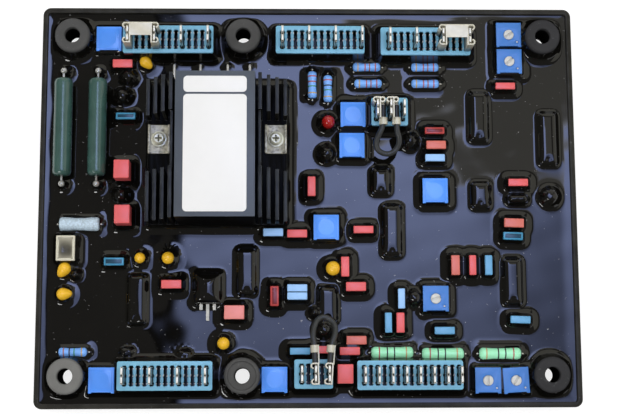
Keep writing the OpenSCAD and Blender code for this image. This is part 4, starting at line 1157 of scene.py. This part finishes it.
class REGULATOR_OT_trimmers(bpy.types.Operator):
    """Rounds the trimmers, their rotors and the sealing films"""

    bl_idname = "regulator.trimmers"
    bl_label = "Trimmers"

    def execute(self, context):
        moulded = finish("moulded_trimmer", "trimmer", 0.36, relief=0.12, dust_and_reflection=0.1)
        white = finish("white_rotor", "rotor", 0.4, amount=0.04, relief=0.1)
        edge, slot = sizes().part_edge, "trimmer_plastic"
        for i, node in enumerate(TRIMMERS, 1):
            softened(node, f"square_trimmer_{i}", edge, moulded, shape=self.squared)
            rotor = f"trimmer_rotor_{i}"
            softened(rotor, f"white_rotor_{i}", sizes().metal_edge, white, body=f"rotor_{i}")
            self.mark(node, i, white)
        sealed = finish("sealed_trimmer", "seal", 0.3, amount=0.05, relief=0.08)
        softened("sealed_trimmers", "sealed_squares", edge, sealed, shape=self.squared)
        self.films()
        return {"FINISHED"}

    def films(self):
        """Lays a film with a low dome over each sealed trimmer."""
        film = finish("sealing_film", "seal", 0.16, amount=0.04, relief=0.1, relief_scale=300)
        dome = ((0.88, -0.05), (0.86, 0.03), (0.8, 0.07), (0.7, 0.08), (0, 0.09))
        work = bmesh.new()
        for foot in feet("trimmer_seals"):
            add_box(work, foot.half, foot.low, foot.high, foot.matrix(), 0.06 * MM)
            profile = [(share * foot.half_x, foot.high + rise * MM) for share, rise in dome]
            add_turned(work, profile, foot.matrix(), sizes().round_steps)
        made_piece(work, "sealing_films", [film], ["trimmer_seals"])

    def squared(self, work, outlines):
        """Fills the notches in the sides of each trimmer and joins the two at its front."""
        deep, near = 0.4 * MM, 0.1 * MM
        for foot in outlines:
            half, place = foot.half_x, foot.matrix()
            back = place.inverted()
            for vert in work.verts:
                p = back @ vert.co
                if max(abs(p.x), abs(p.y)) > half + near:
                    continue
                if p.y < near - half and abs(p.x) < half / 4 + near:
                    p.y += deep
                elif abs(abs(p.x) - half + deep) < near and p.y > 0.3 * half:
                    p.x = math.copysign(half, p.x)
                vert.co = place @ p

    def mark(self, node, i, white):
        """Fills the round mark in the trimmer's top."""
        foot = feet(node)[0]
        work = bmesh.new()
        place = foot.matrix() @ Matrix.Translation((*TRIMMER_MARK, 0))
        low, top, r = foot.high - 0.3 * MM, foot.high, 0.34 * MM
        profile = [(0, low), (r, low), (r, top - 0.1 * MM), (0.22 * MM, top), (0, top)]
        add_turned(work, profile, place, 24)
        made_piece(work, f"trimmer_mark_{i}", [white])


class REGULATOR_OT_capacitors(bpy.types.Operator):
    """Makes the dipped film capacitors, the tantalum beads and the lamp"""

    bl_idname = "regulator.capacitors"
    bl_label = "Capacitors and lamp"

    SALMON = ((-28, -41),)
    ORANGE = ((55, -23.5), (17.5, -51.5), (77.5, -7.5), (48.5, 22.5))
    CLEAR = ((-13, -35), (48, 28), (-69.5, 33.5), (-73, -22), (77, -12.5))
    PALE = ((-13.5, -11), (48, 17.5), (34.5, -36), (-4.5, -32), (-4.5, -35))
    LOBES = {(-62.5, 55): (0.7, -0.7), (-91.5, -24.5): (-0.6, -0.8), (-92, -34): (1, 0.1)}

    SHADES = {
        "red": (
            ("dipped_red", "film_red", 0.34), ("dipped_orange", (208, 110, 98), 0.36),
            ("clear_red", (176, 64, 62), 0.2), ("inner_red", (112, 30, 32), 0.25),
            ("dipped_salmon", (224, 134, 128), 0.4),
        ),
        "blue": (
            ("dipped_blue", "film_blue", 0.34), ("dipped_pale_blue", (150, 194, 244), 0.34),
            ("clear_blue", (60, 136, 176), 0.2), ("inner_blue", (24, 62, 84), 0.25),
        ),
    }

    def execute(self, context):
        for colour, rows in self.SHADES.items():
            shades = [finish(*row, scale=260, relief=0.12, relief_scale=700) for row in rows]
            self.films(f"film_capacitors_{colour}", f"dipped_{colour}_films", f"film_{colour}", shades)
        self.beads()
        self.lamp()
        return {"FINISHED"}

    def near(self, foot, places):
        """Whether an outline has its middle at one of the places, which are in millimetres."""
        return any(math.hypot(foot.x - x * MM, foot.y - y * MM) < 0.4 * MM for x, y in places)

    def films(self, node, name, slot, materials):
        """Makes the film capacitors of a node, some with a clear case round an inner block."""
        work = bmesh.new()
        for foot in feet(node):
            clear = self.near(foot, self.CLEAR)
            kind = 2 if clear else 1 if self.near(foot, self.ORANGE + self.PALE) else 0
            kind = 4 if self.near(foot, self.SALMON) else kind
            edge, crown = sizes().part_edge, 0.12 * MM
            add_box(work, foot.half, foot.low, foot.high, foot.matrix(), edge, crown, kind)
            if clear:
                half = foot.half_x - 0.7 * MM, foot.half_y - 0.65 * MM
                low, high = foot.high - 0.5 * MM, foot.high + 0.02 * MM
                add_box(work, half, low, high, foot.matrix(), 0.15 * MM, 0.05 * MM, 3)
        made_piece(work, name, materials, [node])

    def beads(self):
        """Makes the tantalum beads, some with a lobe where the dip ran."""
        amber = finish("amber_bead", "bead", 0.26, amount=0.12, scale=300, relief=0.2, relief_scale=500)
        work = bmesh.new()
        for foot in feet("tantalum_capacitors"):
            r = foot.half_x
            middle = Vector((foot.x, foot.y, foot.high - r))
            profile = [(0, foot.low), (1 * MM, foot.low), (1 * MM, middle.z - 0.9 * r)]
            profile += [*arc(0, middle.z, r, range(-60, 90, 6)), (0, foot.high)]
            part = bmesh.new()
            add_turned(part, profile, foot.at(), 40)
            for place, (x, y) in self.LOBES.items():
                if self.near(foot, [place]):
                    toward = Vector((x, y, -0.1)).normalized()
                    for vert in part.verts:
                        away = vert.co - middle
                        if away.length > 0.5 * r:
                            swell = math.exp(-((away.angle(toward) / 0.6) ** 2))
                            vert.co += away.normalized() * (0.55 * r * swell)
            append(work, part)
        made_piece(work, "amber_beads", [amber], ["tantalum_capacitors"], 60)

    def lamp(self):
        """Makes the lamp with its flange and dome."""
        clear = finish(
            "clear_lamp", "lamp", 0.08, amount=0.05, relief=0.03, Transmission_Weight=0.25, Coat_Weight=0.6
        )
        foot = feet("indicator_lamp")[0]
        flange, r = foot.half_x, foot.half_x - 0.4 * MM
        dome = foot.high - r
        profile = [(0, foot.low), (flange, foot.low), (flange, foot.low + 1 * MM), (r, foot.low + 1 * MM)]
        profile += [*arc(0, dome, r, range(0, 90, 9)), (0, foot.high)]
        work = bmesh.new()
        add_turned(work, profile, foot.at(), sizes().round_steps)
        made_piece(work, "domed_lamp", [clear], ["indicator_lamp"])


class REGULATOR_OT_resistors(bpy.types.Operator):
    """Makes the banded resistors, the dog-bone resistor and the power resistors"""

    bl_idname = "regulator.resistors"
    bl_label = "Resistors"

    BANDS = {
        "gold": (190, 160, 112), "red": (172, 92, 92), "brown": (158, 100, 88), "dark": (52, 48, 50),
        "green": (72, 140, 110),
    }

    GROUPS = (
        ("resistors_blue", "banded_blue", "resistor_blue", 0.9),
        ("resistors_green", "banded_green", "resistor_green", 0.92),
        ("dog_bone_resistor", "dog_bone", "resistor_grey", 0.9),
    )

    def execute(self, context):
        smooth = dict(amount=0.08, relief=0.12, relief_scale=600)
        lacquers = (
            finish("blue_lacquer", "lacquer_blue", 0.3, **smooth),
            finish("green_lacquer", "lacquer_green", 0.3, **smooth),
            finish(
                "grey_lacquer", "lacquer_grey", 0.45, amount=0.3, scale=1300, relief=0.5, relief_scale=900
            ),
        )
        lead = finish("resistor_lead", (200, 198, 190), 0.25, relief=0.2, Metallic=0.4)
        rings = [finish(f"band_{name}", shade, 0.34, relief=0.1) for name, shade in self.BANDS.items()]
        for row, lacquer in zip(self.GROUPS, lacquers):
            self.group(*row, [lacquer, lead, *rings])
        self.power()
        return {"FINISHED"}

    def group(self, node, name, slot, waist, materials):
        """Makes the resistors of a node with their bands and leads."""
        work = bmesh.new()
        for foot in feet(node):
            upright = foot.half_y > foot.half_x
            long, r = max(foot.half), min(foot.half)
            half = long - 1.6 * MM
            axis = foot.high - r
            turn = Matrix.Rotation(math.pi / 2, 4, "Z") if upright else Matrix.Identity(4)
            place = foot.at(axis) @ turn @ Matrix.Rotation(math.pi / 2, 4, "Y")
            profile, kinds = self.body(half, r, waist, self.bands(node, foot))
            add_turned(work, profile, place, 32, kinds)
            self.leads(work, foot, turn, half, axis)
        made_piece(work, name, materials, [node], 50)

    def bands(self, node, foot):
        """Names and places of the colour bands along a resistor, from -1 to 1."""
        if node == "dog_bone_resistor":
            return []
        if node == "resistors_green":
            row = [(-0.62, "red"), (-0.24, "dark"), (0.10, "dark"), (0.66, "gold")]
            return [(-p, n) for p, n in row][::-1] if foot.x > 60 * MM else row
        if foot.y < 0:
            return [(-0.62, "brown"), (-0.22, "dark"), (0.12, "green"), (0.64, "gold")]
        if foot.half_y > foot.half_x:
            middle = "red" if foot.x < 4 * MM else "dark"
            return [(-0.62, "gold"), (-0.12, "green"), (0.22, middle), (0.62, "red")]
        return [(-0.64, "gold"), (-0.12, "red"), (0.2, "brown"), (0.62, "red")]

    def body(self, half, r, waist, bands):
        """Outline of the lacquered body with a stop at each edge of a band, and each stretch's material."""
        round_end = ((0, 0.45), (0.12, 0.72), (0.3, 0.9), (0.6, 1.0), (1.2, 1.0))
        square_end = ((0, 0.72), (0.06, 0.88), (0.18, 0.97), (0.35, 1.0), (1.2, 1.0))
        stops = {}
        for place, radius in (*(round_end if bands else square_end), (1.7, 0.5 + waist / 2), (2.2, waist)):
            for side in (-1, 1):
                stops[side * (half - place * r)] = radius * r
        line = sorted(stops)
        radii = [stops[z] for z in line]
        wide = 0.24 * MM
        edges = sorted({p * half + s * wide for p, _ in bands for s in (-1, 1)} | set(line))
        profile = [(0, -half)] + [(np.interp(z, line, radii), z) for z in edges] + [(0, half)]
        order, kinds = list(self.BANDS), []
        for (_, a), (_, b) in zip(profile, profile[1:]):
            found = [n for p, n in bands if abs((a + b) / 2 - p * half) < wide and b > a]
            kinds.append(2 + order.index(found[0]) if found else 0)
        return profile, kinds

    def leads(self, work, foot, turn, half, axis):
        """Bends a lead from each end of a resistor down to the board."""
        r, out, bend = 0.4 * MM, 1.2 * MM, 0.5 * MM
        for side in (-1, 1):
            knee = Vector((side * (half + out), 0, axis))
            path = [
                Vector((side * (half - 0.2 * MM), 0, axis)),
                knee - Vector((side * bend, 0, 0)),
                knee - Vector((side * 0.3 * bend, 0, 0.3 * bend)),
                knee - Vector((0, 0, bend)),
                Vector((knee.x, 0, foot.low)),
            ]
            add_tube(work, path, r, foot.at() @ turn, 1)

    def power(self):
        """Makes the enamelled power resistors and finishes their posts."""
        enamel = finish(
            "green_enamel", "enamel", 0.26, amount=0.2, scale=140, relief=0.45, relief_scale=250,
            stretch=(0.5, 3.5, 0.5), Coat_Weight=0.4,
        )
        work = bmesh.new()
        for foot in feet("power_resistors"):
            r, half = foot.half_x, foot.half_y
            axis = (foot.low + foot.high) / 2
            ends = [(0, -half), (0.55 * r, -half), (0.8 * r, 0.25 * MM - half), (0.94 * r, 0.8 * MM - half)]
            ends += [(r, 1.8 * MM - half)]
            middle = [(r * (0.985 if i % 2 else 1.0), (i / 9 - 0.5) * 1.7 * half) for i in range(10)]
            profile = ends + middle + [(a, -z) for a, z in reversed(ends)]
            place = foot.at(axis) @ Matrix.Rotation(math.pi / 2, 4, "X")
            add_turned(work, profile, place, sizes().round_steps)
        made_piece(work, "enamelled_resistors", [enamel], ["power_resistors"], 50)
        solder = finish("solder", (186, 186, 182), 0.22, amount=0.2, scale=500, relief=0.2, Metallic=0.5)
        softened("power_resistor_leads", "soldered_posts", 0.05 * MM, solder)


class REGULATOR_OT_black_parts(bpy.types.Operator):
    """Finishes the ceramic box and the coated black parts"""

    bl_idname = "regulator.black_parts"
    bl_label = "Ceramic box and coated parts"

    def execute(self, context):
        ivory = finish("ivory_ceramic", "ceramic", 0.5, relief=0.25, relief_scale=1500)
        softened("ceramic_box", "ivory_box", 0.25 * MM, ivory)
        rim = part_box("ceramic_box")[1].z
        # Painted shade darkens the fill deeper in its hollow.
        fill = finish(
            "box_fill", (158, 154, 138), 0.22, amount=0.3, scale=200, relief=0.3, Specular_IOR_Level=0.4,
            depth=(rim - 1.3 * MM, rim, (66, 64, 56)),
        )
        self.fill(fill)
        coat = finish("black_coat", "coating", 0.2, amount=0.1, relief=0.1)
        piece = softened("power_transistor", "coated_transistor", 0.1 * MM, coat)
        self.pins(piece)
        paint_nodes(coat, "integrated_circuits", "coated_parts", "diodes")
        return {"FINISHED"}

    def fill(self, material):
        """Makes the hollow fill of the ceramic box, which shrinks away from its rim."""
        foot = feet("ceramic_fill")[0]
        rim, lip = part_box("ceramic_box")[1].z + 0.03 * MM, 0.35 * MM
        work = bmesh.new()
        bmesh.ops.create_grid(work, x_segments=16, y_segments=16, size=1)
        for vert in work.verts:
            u, v = vert.co.x, vert.co.y
            sag = (1 - u**4) * (1 - v**2) * (1 - 0.35 * v)
            vert.co = (u * (foot.half_x + lip), v * (foot.half_y + lip), rim - 1.1 * MM * sag)
        points = list(work.verts)
        n = math.isqrt(len(points))
        last = n * (n - 1)
        brim = points[: n - 1] + points[n - 1 : -1 : n] + points[:last:-1] + points[last:0:-n]
        shrink = foot.half_x / (foot.half_x + lip), foot.half_y / (foot.half_y + lip)
        sole = [work.verts.new((v.co.x * shrink[0], v.co.y * shrink[1], foot.low)) for v in brim]
        for k in range(len(brim)):
            work.faces.new([brim[k - 1], brim[k], sole[k], sole[k - 1]])
        work.faces.new(sole)
        bmesh.ops.transform(work, matrix=foot.matrix(), verts=work.verts)
        made_piece(work, "sunk_fill", [material], ["ceramic_fill"], 40)

    def pins(self, piece):
        """Tins the pins of the power transistor, lifts them out of the resin and sinks the body in it."""
        mesh = piece.data
        tin = finish("tinned_pin", (214, 214, 210), 0.22, amount=0.15, scale=500, relief=0.15, Metallic=0.4)
        mesh.materials.append(tin)
        for face in mesh.polygons:
            if face.center.y < PIN_EDGE:
                face.material_index = 1
        for vert in mesh.vertices:
            if vert.co.z > 8 * MM:
                vert.co.z += 0.5 * MM if vert.co.y < PIN_EDGE else -1 * MM


class REGULATOR_PT_pieces(bpy.types.Panel):
    """Lists the pieces of the regulator and their sizes and colours"""

    bl_label = "Voltage regulator"
    bl_idname = "REGULATOR_PT_pieces"
    bl_space_type = "VIEW_3D"
    bl_region_type = "UI"
    bl_category = "Regulator"

    def draw(self, context):
        column = self.layout.column(align=True)
        for operator in OPERATORS:
            column.operator(operator.bl_idname)
        for group in (context.scene.regulator_sizes, context.scene.regulator_colours):
            box = self.layout.box()
            for field in group.__annotations__:
                box.prop(group, field)


OPERATORS = (
    REGULATOR_OT_stage,
    REGULATOR_OT_jumpers,
    REGULATOR_OT_tray,
    REGULATOR_OT_resin,
    REGULATOR_OT_heat_sink,
    REGULATOR_OT_terminals,
    REGULATOR_OT_trimmers,
    REGULATOR_OT_capacitors,
    REGULATOR_OT_resistors,
    REGULATOR_OT_black_parts,
)
CLASSES = (RegulatorSizes, RegulatorColours, *OPERATORS, REGULATOR_PT_pieces)


def register():
    for cls in CLASSES:
        bpy.utils.register_class(cls)
    bpy.types.Scene.regulator_sizes = PointerProperty(type=RegulatorSizes)
    bpy.types.Scene.regulator_colours = PointerProperty(type=RegulatorColours)


def unregister():
    del bpy.types.Scene.regulator_colours
    del bpy.types.Scene.regulator_sizes
    for cls in reversed(CLASSES):
        bpy.utils.unregister_class(cls)


def main():
    register()
    for operator in OPERATORS:
        group, name = operator.bl_idname.split(".")
        getattr(getattr(bpy.ops, group), name)()
    bpy.context.view_layer.update()


if __name__ == "__main__":
    main()
